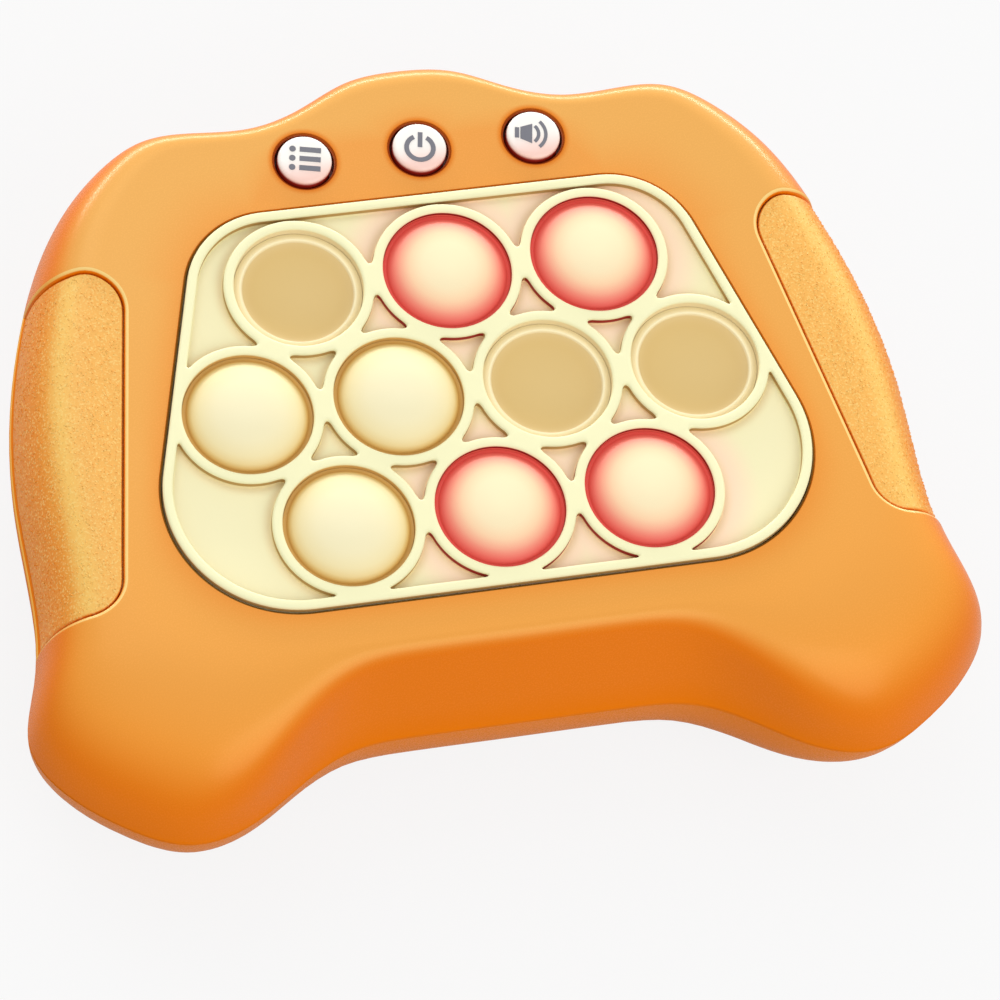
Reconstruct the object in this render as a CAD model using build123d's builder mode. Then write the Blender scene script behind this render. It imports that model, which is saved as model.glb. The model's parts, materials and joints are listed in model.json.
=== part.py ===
from build123d import *
import os
from math import radians, sqrt, tan

os.makedirs("parts", exist_ok=True)

# Hand-held electronic bubble game. Millimetres. The flat back lies on Z = 0, the playing face looks
# up along +Z, +X is the player's right and +Y runs towards the three buttons.

# Case: two shells that meet at the parting line
case_width = 140.0
case_length = 114.0
case_height = 36.0
parting_height = 21.7
wall = 2.4
parting_groove = 0.4
overrun = 2.0  # how far every cut runs past what it cuts

# Bubble field: rows of three, four and three on a triangular pitch
bubble_pitch = 22.0
row_pitch_share = 0.16713  # of the case's length, which makes the triangles even-sided
row_pitch = case_length * row_pitch_share
field_shift = 0.8  # the field's centre lies this far from the case's centre, towards the buttons
bore_share = 0.229  # a bore's radius, of the two pitches together
bubble_bore_radius = (bubble_pitch + row_pitch) * bore_share
ring_width = 1.65
ring_height = 1.9  # the rings and the rim stand this far above the mat's floor
mat_rise = 0.8  # and this far above the case's face
mat_gap = 0.2  # dark line between the mat and the case
mat_rim_width = 1.35
mat_flange = 1.5  # reach of the trapped flange under the face
mat_flange_thickness = 0.8
mat_edge_round = 0.5

# Panel: the rounded trapezoid that the mat fills, measured from the field's centre
panel_top_share = 0.2807
panel_bottom_share = 0.2737
panel_top = case_length * panel_top_share
panel_bottom = case_length * panel_bottom_share
panel_top_half = 35.1
panel_bottom_half = 53.7
panel_top_round = 13.2
panel_bottom_round = 18.5

# Bubbles
bubble_gap = 0.3
bubble_wall = 1.2
bubble_travel = 4.8
dome_rise = 1.5  # a raised bubble's crown above its ring
bubble_edge_drop = 1.0  # the bubble's edge below the ring's top
dish_lip = 0.6  # width of the lip round a pressed bubble
stem_radius = 2.6
pill_thickness = 0.6
pressed_bubbles = ("bubble_1", "bubble_6", "bubble_7")

# Light box and board
light_box_height = 5.2
board_thickness = 1.6
board_top_half = 37.0
board_bottom_half = 51.0
board_back_share = 0.3816  # the edge towards the buttons
board_front_share = 0.2763
board_back_edge = case_length * board_back_share
board_front_edge = case_length * board_front_share
board_round = 4.0
contact_radius = 3.0
contact_thickness = 0.3
contact_gap = 0.3  # left between a pressed bubble's pill and its contact
led_length = 3.5
led_width = 2.8
led_height = 1.0
led_offset = 5.8

# Buttons
button_spacing = 17.2
button_line_share = 0.3474  # their line, from the field's centre
button_line = case_length * button_line_share
button_radius = 4.0
button_hole_radius = 4.4
button_rise = 0.8
button_round = 0.6
button_flange_radius = 4.7
button_flange_thickness = 1.0
button_travel = 0.8
button_stop_gap = 0.5
switch_side = 6.0
switch_height = 3.5
plunger_radius = 1.7
plunger_gap = 0.2
plunger_depth = 0.5

# Grips: textured inserts let into the face's two sides
grip_thickness = 1.2
grip_gap = 0.25
grip_bed = 0.1
grip_top_share = 0.2281  # from the field's centre
grip_bottom_share = 0.2333
grip_top = case_length * grip_top_share
grip_bottom = case_length * grip_bottom_share
grip_top_inset = 46.4  # the inner edge's distance from the centre line, at the top
grip_bottom_inset = 55.7
grip_top_round = 6.0
grip_bottom_round = 5.0
grip_lift = 1.0  # above the parting line

# Case screws in tall columns
column_radius = 4.6
screw_head_radius = 2.6
screw_head_height = 1.8
screw_radius = 1.25
screw_clearance = 0.1
screw_recess_radius = 3.0
screw_seat_depth = 6.0  # the seat below the parting line
case_screw_length = 13.0
boss_radius = 3.2
back_column_x = 46.5
back_column_share = 0.2763
back_column_y = case_length * back_column_share
front_column_x = 52.0
front_column_share = 0.3333
front_column_y = case_length * front_column_share

# Board posts and screws
post_radius = 2.8
board_screw_length = 5.0
board_screw_head_radius = 2.0
board_screw_head_height = 1.2
board_screw_radius = 0.9
back_post_x = 29.0
back_post_share = 0.3333
back_post_y = case_length * back_post_share
front_post_x = 47.0
front_post_share = 0.2412
front_post_y = case_length * front_post_share

# Battery bay for three AAA cells side by side
cell_radius = 5.25
cell_length = 43.7
cell_nub_radius = 1.9
cell_nub_length = 0.8
cell_spacing = 11.2
cell_clearance = 0.3
bay_shift = -4.0  # the bay's centre line along Y
bay_half_length = 25.0
bay_half_width = 17.0
bay_wall = 3.0
bay_roof = 1.6
door_thickness = 1.6
door_recess = 0.4  # the door's face above the rest plane
door_seat = 1.7  # how far the door laps the bay's wall
door_gap = 0.3
door_ear_radius = 4.6
door_ear_reach = 30.0
door_round = 2.0
door_screw_length = 8.0
door_rib_width = 1.4
door_rib_height = 0.6
door_rib_length = 16.0
door_rib_count = 5
door_rib_pitch = 4.0
contact_strip_width = 8.0
contact_strip_thickness = 0.4
contact_strip_height = 9.0
contact_dimple_radius = 1.6

# Speaker behind a drilled grille, between the bay and the back edge
speaker_room_share = 0.3795  # the back end of its room
speaker_share = 0.404  # its radius, of the room
speaker_bay_gap = 2.0
bay_end = bay_shift + bay_half_width + bay_wall
speaker_radius = (case_length * speaker_room_share - bay_end) * speaker_share
speaker_y = bay_end + speaker_bay_gap + speaker_radius
speaker_flange = 1.0
speaker_basket_height = 3.2
speaker_cone_drop = 1.8
speaker_cone_thickness = 0.5
speaker_coil_share = 0.33
speaker_dust_cap_share = 0.27
magnet_share = 0.59
speaker_coil_radius = speaker_radius * speaker_coil_share
speaker_dust_cap_radius = speaker_radius * speaker_dust_cap_share
magnet_radius = speaker_radius * magnet_share
magnet_height = 2.6
speaker_collar = 1.2
speaker_collar_height = 2.0
speaker_collar_gap = 0.15
grille_hole_radius = 0.9
grille_pitch = 3.2
grille_rings = 2

# Parts on the board's underside
chip_length = 10.0
chip_width = 7.6
chip_height = 1.8
chip_x = -14.0
chip_y = 22.0
capacitor_radius = 3.0
capacitor_height = 6.0
capacitor_x = 18.0
capacitor_y = 24.0
socket_length = 6.0
socket_width = 4.0
socket_height = 4.4
battery_socket_x = 36.0
battery_socket_y = 6.0
speaker_socket_x = 12.0
speaker_socket_y = 33.0

# Leads
lead_radius = 0.6
lead_spread = 2.4  # between the two leads of a pair
lead_magnet_gap = 0.4
lead_arc_share = 0.45  # of the shorter run beside an arc

# Heights that follow from the stack
face_underside = case_height - wall
ring_top = case_height + mat_rise
mat_floor_top = ring_top - ring_height
mat_underside = face_underside - mat_flange_thickness
board_top = mat_underside - light_box_height
board_underside = board_top - board_thickness
contact_top = board_top + contact_thickness
bubble_radius = bubble_bore_radius - bubble_gap
bubble_edge_top = ring_top - bubble_edge_drop
dome_top = ring_top + dome_rise
dish_floor_top = dome_top - bubble_travel
pill_low = contact_top + contact_gap
half_width = case_width / 2
half_length = case_length / 2

# Half outlines of the case, from the middle of the back edge round the player's right to the middle
# of the front, as shares of the half width and the half length. The rim is the parting line, the
# face edge is where the flat face starts to roll off, and the base edge bounds the flat back.
rim_shares = (
    (0, 1.0),
    (0.113, 0.983),
    (0.226, 0.915),
    (0.346, 0.873),
    (0.471, 0.881),
    (0.585, 0.875),
    (0.691, 0.798),
    (0.786, 0.662),
    (0.867, 0.446),
    (0.921, 0.207),
    (0.946, -0.044),
    (0.946, -0.295),
    (0.968, -0.519),
    (1.0, -0.692),
    (0.932, -0.84),
    (0.842, -0.93),
    (0.717, -0.998),
    (0.597, -0.972),
    (0.478, -0.885),
    (0.358, -0.812),
    (0.22, -0.796),
    (0, -0.796),
)
face_edge_shares = (
    (0, 0.9),
    (0.108, 0.887),
    (0.216, 0.833),
    (0.334, 0.789),
    (0.461, 0.789),
    (0.549, 0.768),
    (0.622, 0.686),
    (0.685, 0.57),
    (0.732, 0.392),
    (0.77, 0.176),
    (0.789, -0.044),
    (0.786, -0.241),
    (0.761, -0.403),
    (0.71, -0.511),
    (0.654, -0.565),
    (0.597, -0.596),
    (0.541, -0.615),
    (0.481, -0.627),
    (0.418, -0.632),
    (0.339, -0.634),
    (0.22, -0.634),
    (0, -0.634),
)
base_edge_shares = (
    (0, 0.759),
    (0.104, 0.747),
    (0.201, 0.705),
    (0.302, 0.674),
    (0.402, 0.666),
    (0.484, 0.639),
    (0.553, 0.562),
    (0.613, 0.454),
    (0.66, 0.315),
    (0.698, 0.153),
    (0.72, -0.032),
    (0.726, -0.225),
    (0.723, -0.356),
    (0.704, -0.449),
    (0.669, -0.503),
    (0.632, -0.538),
    (0.585, -0.557),
    (0.522, -0.565),
    (0.446, -0.546),
    (0.346, -0.519),
    (0.217, -0.507),
    (0, -0.507),
)
# How far the wall leans in before its corner, as a share of the way from rim to face edge, and how
# much of the wall's height the rounding takes. The front wall is steep and straight with a tight
# edge, and the lobes and sides are one soft roll.
face_lean_shares = (
    *[0.3] * 6, 0.2, 0.12, *[0.1] * 6, 0.12, 0.15, 0.22, 0.33, 0.55, 0.76, 0.83, 0.83,
)
face_roll_shares = (
    *[0.45] * 6, 0.7, 0.9, *[1] * 8, 0.9, 0.7, 0.38, 0.2, 0.15, 0.15,
)
base_lean_shares = [0.1] * len(rim_shares)
base_roll_shares = [1] * len(rim_shares)
# Heights of the sections through a shell, from the parting line to its flat
level_shares = (0, 0.3, 0.55, 0.75, 0.88, 0.95, 0.985, 1)


def case_ring(height):
    """Plan points of the case's outside at a height, clockwise from the middle of the back edge."""
    if height >= parting_height:
        rise = (height - parting_height) / (case_height - parting_height)
        shape = zip(rim_shares, face_edge_shares, face_lean_shares, face_roll_shares)
    else:
        rise = (parting_height - height) / parting_height
        shape = zip(rim_shares, base_edge_shares, base_lean_shares, base_roll_shares)
    half = []
    for (rim_x, rim_y), (edge_x, edge_y), lean, roll in shape:
        rim = Vector(rim_x * half_width, rim_y * half_length)
        edge = Vector(edge_x * half_width, edge_y * half_length)
        corner = rim + (edge - rim) * lean
        turn = corner + (rim - corner) * roll
        if rise <= 1 - roll:
            half.append(rim + (corner - rim) * rise)
        else:
            left = sqrt(max(0, 1 - rise) / roll)
            half.append(turn * left**2 + corner * (2 * left * (1 - left)) + edge * (1 - left) ** 2)
    return half + [Vector(-point.X, point.Y) for point in half[-2:0:-1]]


def inset(points, distance):
    """The same points moved in from a clockwise outline, square to it."""
    moved = []
    for before, point, after in zip(points[-1:] + points[:-1], points, points[1:] + points[:1]):
        along = (after - before).normalized()
        moved.append(point + Vector(along.Y, -along.X) * distance)
    return moved


def outline_steps():
    """Where each rim point lies along the rim, which every section shares."""
    rim = case_ring(parting_height)
    steps = [0]
    for point, after in zip(rim, rim[1:] + rim[:1]):
        steps.append(steps[-1] + (after - point).length)
    return [step / steps[-1] for step in steps]


def outline_sketch(points, height):
    """A closed smooth outline through plan points."""
    curve = Edge.make_spline(
        [Vector(point.X, point.Y, 0) for point in points],
        periodic=True,
        parameters=outline_steps(),
    )
    with BuildSketch(Plane.XY.offset(height)) as outline:
        with BuildLine():
            add(curve)
        make_face()
    return outline.sketch


def case_sections(flat_height, depth):
    """Sections of one shell's outside, or of the surface that lies a depth under it."""
    inward = 1 if flat_height > parting_height else -1
    first = parting_height + inward * depth
    sections = []
    for share in level_shares:
        height = first + (flat_height - first) * share
        points = inset(case_ring(height), depth)
        sections.append(outline_sketch(points, height - inward * depth))
    return sections


def panel_outline(height, grow):
    """The panel's rounded trapezoid, grown or shrunk."""
    with BuildSketch(Plane.XY.offset(height)) as outline:
        with BuildLine():
            Polyline(
                (-panel_top_half, field_shift + panel_top),
                (panel_top_half, field_shift + panel_top),
                (panel_bottom_half, field_shift - panel_bottom),
                (-panel_bottom_half, field_shift - panel_bottom),
                close=True,
            )
        make_face()
        fillet(outline.vertices().group_by(Axis.Y)[-1], radius=panel_top_round)
        fillet(outline.vertices().group_by(Axis.Y)[0], radius=panel_bottom_round)
        if grow:
            offset(amount=grow)
    return outline.sketch


def grip_outline(height, grow):
    """Plan of the two grips, which run out past the case's sides."""
    outer = half_width + overrun
    with BuildSketch(Plane.XY.offset(height)) as outline:
        with BuildLine():
            Polyline(
                (outer, field_shift + grip_top),
                (grip_top_inset, field_shift + grip_top),
                (grip_bottom_inset, field_shift - grip_bottom),
                (outer, field_shift - grip_bottom),
                close=True,
            )
        make_face()
        fillet(outline.vertices().sort_by(Axis.X)[0], radius=grip_top_round)
        fillet(outline.vertices().group_by(Axis.Y)[0].sort_by(Axis.X)[0], radius=grip_bottom_round)
        if grow:
            offset(amount=grow)
        mirror(about=Plane.YZ)
    return outline.sketch


def board_outline(height):
    with BuildSketch(Plane.XY.offset(height)) as outline:
        with BuildLine():
            Polyline(
                (-board_top_half, board_back_edge),
                (board_top_half, board_back_edge),
                (board_bottom_half, -board_front_edge),
                (-board_bottom_half, -board_front_edge),
                close=True,
            )
        make_face()
        fillet(outline.vertices(), radius=board_round)
    return outline.sketch


def door_outline(height, grow):
    with BuildSketch(Plane.XY.offset(height)) as outline:
        with Locations((0, bay_shift)):
            RectangleRounded(
                2 * (bay_half_length + door_seat), 2 * (bay_half_width + door_seat), door_round
            )
        with Locations(*door_screw_places):
            Circle(door_ear_radius)
        if grow:
            offset(amount=grow)
    return outline.sketch


def finish(part, name):
    part.label = name
    export_step(part, f"parts/{name}.step")


# Places
bubble_places = []
for row, count in zip((1, 0, -1), (3, 4, 3)):
    for column in range(count):
        along = (column - (count - 1) / 2) * bubble_pitch
        bubble_places.append((along, field_shift + row * row_pitch))
button_places = [(side * button_spacing, field_shift + button_line) for side in (-1, 0, 1)]
column_places = [
    (side * x, y)
    for x, y in ((back_column_x, back_column_y), (front_column_x, -front_column_y))
    for side in (-1, 1)
]
post_places = [
    (side * x, y)
    for x, y in ((back_post_x, back_post_y), (front_post_x, -front_post_y))
    for side in (-1, 1)
]
door_screw_places = [(side * door_ear_reach, bay_shift) for side in (-1, 1)]
cell_lines = [bay_shift + step * cell_spacing for step in (-1, 0, 1)]
cell_height = door_recess + door_thickness + cell_clearance + cell_radius
bay_inside_top = cell_height + cell_radius + cell_clearance

# Cavities: what is left inside each shell once its columns and posts stand in it
with BuildPart() as front_cavity:
    loft(sections=case_sections(case_height, wall))
    with Locations(*[(x, y, parting_height) for x, y in column_places]):
        Cylinder(
            boss_radius,
            case_height,
            align=(Align.CENTER, Align.CENTER, Align.MIN),
            mode=Mode.SUBTRACT,
        )
    with Locations(*[(x, y, board_top) for x, y in post_places]):
        Cylinder(
            post_radius,
            case_height,
            align=(Align.CENTER, Align.CENTER, Align.MIN),
            mode=Mode.SUBTRACT,
        )

# The beds that the grips lie in reach out past the case and stop short of its lining
with BuildPart() as grip_beds:
    extrude(grip_outline(parting_height + grip_lift - grip_gap, grip_gap), amount=case_height)
    loft(sections=case_sections(case_height, grip_thickness + grip_bed), mode=Mode.SUBTRACT)

with BuildPart() as front_shell:
    loft(sections=case_sections(case_height, 0))
    add(front_cavity.part, mode=Mode.SUBTRACT)
    extrude(panel_outline(board_top, 0), amount=case_height, mode=Mode.SUBTRACT)
    with Locations(*[(x, y, face_underside) for x, y in button_places]):
        Cylinder(button_hole_radius, 2 * (wall + overrun), mode=Mode.SUBTRACT)
    with Locations(*[(x, y, parting_height) for x, y in column_places]):
        Cylinder(
            screw_radius + screw_clearance,
            2 * (case_screw_length - screw_seat_depth + overrun),
            mode=Mode.SUBTRACT,
        )
    with Locations(*[(x, y, board_top) for x, y in post_places]):
        Cylinder(
            board_screw_radius + screw_clearance,
            2 * (board_screw_length - board_thickness),
            mode=Mode.SUBTRACT,
        )
    add(grip_beds.part, mode=Mode.SUBTRACT)
finish(front_shell.part, "front_shell")

with BuildPart() as grips:
    loft(sections=case_sections(case_height, 0))
    loft(sections=case_sections(case_height, grip_thickness), mode=Mode.SUBTRACT)
    extrude(
        grip_outline(parting_height + grip_lift, 0),
        amount=case_height,
        mode=Mode.INTERSECT,
    )
for name, grip in zip(("grip_left", "grip_right"), grips.solids().sort_by(Axis.X)):
    finish(grip, name)

with BuildPart() as back_cavity:
    loft(sections=case_sections(0, wall))
    with Locations(*[(x, y, 0) for x, y in column_places]):
        Cylinder(
            column_radius,
            case_height,
            align=(Align.CENTER, Align.CENTER, Align.MIN),
            mode=Mode.SUBTRACT,
        )
    with Locations(*[(x, y, 0) for x, y in door_screw_places]):
        Cylinder(
            boss_radius,
            door_recess + door_thickness + door_screw_length,
            align=(Align.CENTER, Align.CENTER, Align.MIN),
            mode=Mode.SUBTRACT,
        )
    with Locations((0, bay_shift, 0)):
        Box(
            2 * (bay_half_length + bay_wall),
            2 * (bay_half_width + bay_wall),
            bay_inside_top + bay_roof,
            align=(Align.CENTER, Align.CENTER, Align.MIN),
            mode=Mode.SUBTRACT,
        )
    with BuildSketch(Plane.XY):
        with Locations((0, speaker_y)):
            Circle(speaker_radius + speaker_flange + speaker_collar_gap + speaker_collar)
            Circle(speaker_radius + speaker_flange + speaker_collar_gap, mode=Mode.SUBTRACT)
    extrude(amount=wall + speaker_collar_height, mode=Mode.SUBTRACT)

door_top = door_recess + door_thickness
with BuildPart() as back_shell:
    loft(sections=case_sections(0, 0))
    add(back_cavity.part, mode=Mode.SUBTRACT)
    with Locations((0, bay_shift, 0)):
        Box(
            2 * bay_half_length,
            2 * bay_half_width,
            bay_inside_top,
            align=(Align.CENTER, Align.CENTER, Align.MIN),
            mode=Mode.SUBTRACT,
        )
    extrude(door_outline(door_top, door_gap), amount=-door_top - overrun, mode=Mode.SUBTRACT)
    with Locations(*[(x, y, door_top) for x, y in door_screw_places]):
        Cylinder(
            screw_radius + screw_clearance,
            2 * (door_screw_length - door_thickness),
            mode=Mode.SUBTRACT,
        )
    with Locations(*[(x, y, 0) for x, y in column_places]):
        Cylinder(
            screw_recess_radius,
            2 * (parting_height - screw_seat_depth),
            mode=Mode.SUBTRACT,
        )
        Cylinder(screw_radius + screw_clearance, 2 * case_height, mode=Mode.SUBTRACT)
    with Locations((0, speaker_y, 0)):
        Cylinder(grille_hole_radius, 2 * (wall + overrun), mode=Mode.SUBTRACT)
        for ring in range(1, grille_rings + 1):
            with PolarLocations(ring * grille_pitch, 6 * ring):
                Cylinder(grille_hole_radius, 2 * (wall + overrun), mode=Mode.SUBTRACT)
    with BuildSketch(Plane.XY.offset(parting_height - parting_groove)):
        add(outline_sketch(inset(case_ring(parting_height), -overrun), parting_height - parting_groove))
        add(
            outline_sketch(
                inset(case_ring(parting_height), parting_groove), parting_height - parting_groove
            ),
            mode=Mode.SUBTRACT,
        )
    extrude(amount=2 * parting_groove, mode=Mode.SUBTRACT)
finish(back_shell.part, "back_shell")

# Bubble mat: flange, floor, rim and rings in one moulding, with a bore for each bubble
with BuildPart() as bubble_mat:
    extrude(panel_outline(mat_underside, mat_flange), amount=mat_flange_thickness)
    extrude(panel_outline(mat_underside, -mat_gap), amount=mat_floor_top - mat_underside)
    with BuildSketch(Plane.XY.offset(mat_floor_top)):
        add(panel_outline(mat_floor_top, -mat_gap))
        add(panel_outline(mat_floor_top, -mat_gap - mat_rim_width), mode=Mode.SUBTRACT)
        with Locations(*bubble_places):
            Circle(bubble_bore_radius + ring_width)
        add(panel_outline(mat_floor_top, -mat_gap), mode=Mode.INTERSECT)
    extrude(amount=ring_height)
    with Locations(*[(x, y, mat_underside) for x, y in bubble_places]):
        Cylinder(bubble_bore_radius, 2 * case_height, mode=Mode.SUBTRACT)
    fillet(bubble_mat.faces().sort_by(Axis.Z)[-1].edges(), radius=mat_edge_round)
finish(bubble_mat.part, "bubble_mat")

# Light box under the mat
with BuildPart() as light_box:
    extrude(panel_outline(board_top, mat_flange), amount=light_box_height)
    with Locations(*[(x, y, board_top) for x, y in bubble_places]):
        Cylinder(bubble_bore_radius + bubble_gap, 2 * (light_box_height + overrun), mode=Mode.SUBTRACT)
finish(light_box.part, "light_box")

# Bubbles, each with a stem and a conductive pill
dome_height = dome_top - bubble_edge_top
dome_sphere_radius = (bubble_radius**2 + dome_height**2) / (2 * dome_height)


def raised_bubble(name, place):
    """Domed bubble, up."""
    x, y = place
    with BuildPart() as bubble:
        with BuildSketch(Plane.XZ):
            with BuildLine():
                crown = RadiusArc((bubble_radius, bubble_edge_top), (0, dome_top), -dome_sphere_radius)
                Line(crown @ 1, (0, dome_top - bubble_wall))
                inner = RadiusArc(
                    (0, dome_top - bubble_wall),
                    (bubble_radius, bubble_edge_top - bubble_wall),
                    dome_sphere_radius,
                )
                Line(inner @ 1, crown @ 0)
            make_face()
        revolve(axis=Axis.Z)
        pill_top = pill_low + bubble_travel + pill_thickness
        with Locations((0, 0, pill_top)):
            Cylinder(
                stem_radius,
                dome_top - bubble_wall / 2 - pill_top - stem_radius**2 / (2 * dome_sphere_radius),
                align=(Align.CENTER, Align.CENTER, Align.MIN),
            )
    finish(bubble.part.moved(Location((x, y, 0))), name)


def pressed_bubble(name, place):
    """The same bubble popped in: a bowl with a flat lip."""
    x, y = place
    bowl_radius = bubble_radius - dish_lip
    bowl_depth = bubble_edge_top - dish_floor_top
    bowl_sphere_radius = (bowl_radius**2 + bowl_depth**2) / (2 * bowl_depth)
    with BuildPart() as bubble:
        with BuildSketch(Plane.XZ):
            with BuildLine():
                bowl = RadiusArc((0, dish_floor_top), (bowl_radius, bubble_edge_top), -bowl_sphere_radius)
                Polyline(
                    bowl @ 1,
                    (bubble_radius, bubble_edge_top),
                    (bubble_radius, bubble_edge_top - bubble_wall),
                    (bowl_radius, bubble_edge_top - bubble_wall),
                )
                under = RadiusArc(
                    (bowl_radius, bubble_edge_top - bubble_wall),
                    (0, dish_floor_top - bubble_wall),
                    bowl_sphere_radius,
                )
                Line(under @ 1, bowl @ 0)
            make_face()
        revolve(axis=Axis.Z)
        pill_top = pill_low + pill_thickness
        with Locations((0, 0, pill_top)):
            Cylinder(
                stem_radius,
                dish_floor_top - bubble_wall / 2 - pill_top,
                align=(Align.CENTER, Align.CENTER, Align.MIN),
            )
    finish(bubble.part.moved(Location((x, y, 0))), name)


# A conductive pill at the foot of each bubble's stem
for number, (x, y) in enumerate(bubble_places, start=1):
    bubble_name = f"bubble_{number}"
    if bubble_name in pressed_bubbles:
        pressed_bubble(bubble_name, (x, y))
        pill_base = pill_low
    else:
        raised_bubble(bubble_name, (x, y))
        pill_base = pill_low + bubble_travel
    with BuildPart() as pill:
        with Locations((x, y, pill_base)):
            Cylinder(stem_radius, pill_thickness, align=(Align.CENTER, Align.CENTER, Align.MIN))
    finish(pill.part, f"pill_{number}")

# Main board and what stands on it
with BuildPart() as main_board:
    extrude(board_outline(board_underside), amount=board_thickness)
    with Locations(*[(x, y, board_underside) for x, y in post_places]):
        Cylinder(
            board_screw_radius + screw_clearance, 2 * (board_thickness + overrun), mode=Mode.SUBTRACT
        )
finish(main_board.part, "main_board")

with BuildPart() as contact_pads:
    with Locations(*[(x, y, board_top) for x, y in bubble_places]):
        Cylinder(contact_radius, contact_thickness, align=(Align.CENTER, Align.CENTER, Align.MIN))
finish(contact_pads.part, "contact_pads")

with BuildPart() as bubble_leds:
    with Locations(*[(x, y + led_offset, board_top) for x, y in bubble_places]):
        Box(led_length, led_width, led_height, align=(Align.CENTER, Align.CENTER, Align.MIN))
finish(bubble_leds.part, "bubble_leds")

switch_top = board_top + switch_height
switch_bore_depth = plunger_depth + button_travel + button_stop_gap
with BuildPart() as button_switches:
    with Locations(*[(x, y, board_top) for x, y in button_places]):
        Box(switch_side, switch_side, switch_height, align=(Align.CENTER, Align.CENTER, Align.MIN))
    with Locations(*[(x, y, switch_top) for x, y in button_places]):
        Cylinder(plunger_radius + plunger_gap, 2 * switch_bore_depth, mode=Mode.SUBTRACT)
finish(button_switches.part, "button_switches")

button_flange_top = face_underside - button_stop_gap
button_foot = button_flange_top - button_flange_thickness
for name, (x, y) in zip(("menu", "power", "volume"), button_places):
    with BuildPart() as button:
        with Locations((x, y, button_foot)):
            Cylinder(
                button_flange_radius,
                button_flange_thickness,
                align=(Align.CENTER, Align.CENTER, Align.MIN),
            )
            Cylinder(
                button_radius,
                case_height + button_rise - button_foot,
                align=(Align.CENTER, Align.CENTER, Align.MIN),
            )
        fillet(button.faces().sort_by(Axis.Z)[-1].edges(), radius=button_round)
    finish(button.part, f"{name}_button")
    with BuildPart() as plunger:
        with Locations((x, y, switch_top - plunger_depth)):
            Cylinder(
                plunger_radius,
                button_foot - switch_top + plunger_depth,
                align=(Align.CENTER, Align.CENTER, Align.MIN),
            )
    finish(plunger.part, f"{name}_switch_plunger")

with BuildPart() as control_chip:
    with Locations((chip_x, chip_y, board_underside)):
        Box(chip_length, chip_width, chip_height, align=(Align.CENTER, Align.CENTER, Align.MAX))
finish(control_chip.part, "control_chip")

with BuildPart() as capacitor:
    with Locations((capacitor_x, capacitor_y, board_underside)):
        Cylinder(
            capacitor_radius, capacitor_height, align=(Align.CENTER, Align.CENTER, Align.MAX)
        )
finish(capacitor.part, "capacitor")

socket_places = [(battery_socket_x, battery_socket_y), (speaker_socket_x, speaker_socket_y)]
with BuildPart() as lead_sockets:
    with Locations(*[(x, y, board_underside) for x, y in socket_places]):
        Box(socket_length, socket_width, socket_height, align=(Align.CENTER, Align.CENTER, Align.MAX))
finish(lead_sockets.part, "lead_sockets")

# Speaker, face down on the grille
with BuildPart() as speaker_basket:
    with BuildSketch(Plane.XY.offset(wall)):
        with Locations((0, speaker_y)):
            Circle(speaker_radius + speaker_flange)
            Circle(speaker_radius - speaker_flange, mode=Mode.SUBTRACT)
    extrude(amount=speaker_basket_height)
    with BuildSketch(Plane.XY.offset(wall + speaker_basket_height)):
        with Locations((0, speaker_y)):
            Circle(speaker_radius)
            Circle(speaker_coil_radius, mode=Mode.SUBTRACT)
    extrude(amount=speaker_flange)
finish(speaker_basket.part, "speaker_basket")

cone_edge = wall + speaker_basket_height / 2
with BuildPart() as speaker_cone:
    with BuildSketch(Plane.XZ):
        with BuildLine():
            Polyline(
                (0, cone_edge + speaker_cone_drop / 2),
                (speaker_dust_cap_radius, cone_edge + speaker_cone_drop / 2),
                (speaker_radius - speaker_flange, cone_edge - speaker_cone_drop / 2),
                (
                    speaker_radius - speaker_flange,
                    cone_edge - speaker_cone_drop / 2 + speaker_cone_thickness,
                ),
                (
                    speaker_dust_cap_radius,
                    cone_edge + speaker_cone_drop / 2 + speaker_cone_thickness,
                ),
                (0, cone_edge + speaker_cone_drop / 2 + speaker_cone_thickness),
                close=True,
            )
        make_face()
    revolve(axis=Axis.Z)
finish(speaker_cone.part.moved(Location((0, speaker_y, 0))), "speaker_cone")

magnet_low = wall + speaker_basket_height + speaker_flange
with BuildPart() as speaker_magnet:
    with Locations((0, speaker_y, magnet_low)):
        Cylinder(magnet_radius, magnet_height, align=(Align.CENTER, Align.CENTER, Align.MIN))
finish(speaker_magnet.part, "speaker_magnet")

# Three cells, the middle one the other way round
cell_half = (cell_length + cell_nub_length) / 2
for number, (line, way) in enumerate(zip(cell_lines, (1, -1, 1)), start=1):
    with BuildPart() as cell:
        with BuildSketch(Plane.YZ.offset(-way * cell_half)):
            with Locations((line, cell_height)):
                Circle(cell_radius)
        extrude(amount=way * cell_length)
        with BuildSketch(Plane.YZ.offset(way * (cell_half - cell_nub_length))):
            with Locations((line, cell_height)):
                Circle(cell_nub_radius)
        extrude(amount=way * cell_nub_length)
    finish(cell.part, f"battery_{number}")

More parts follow.
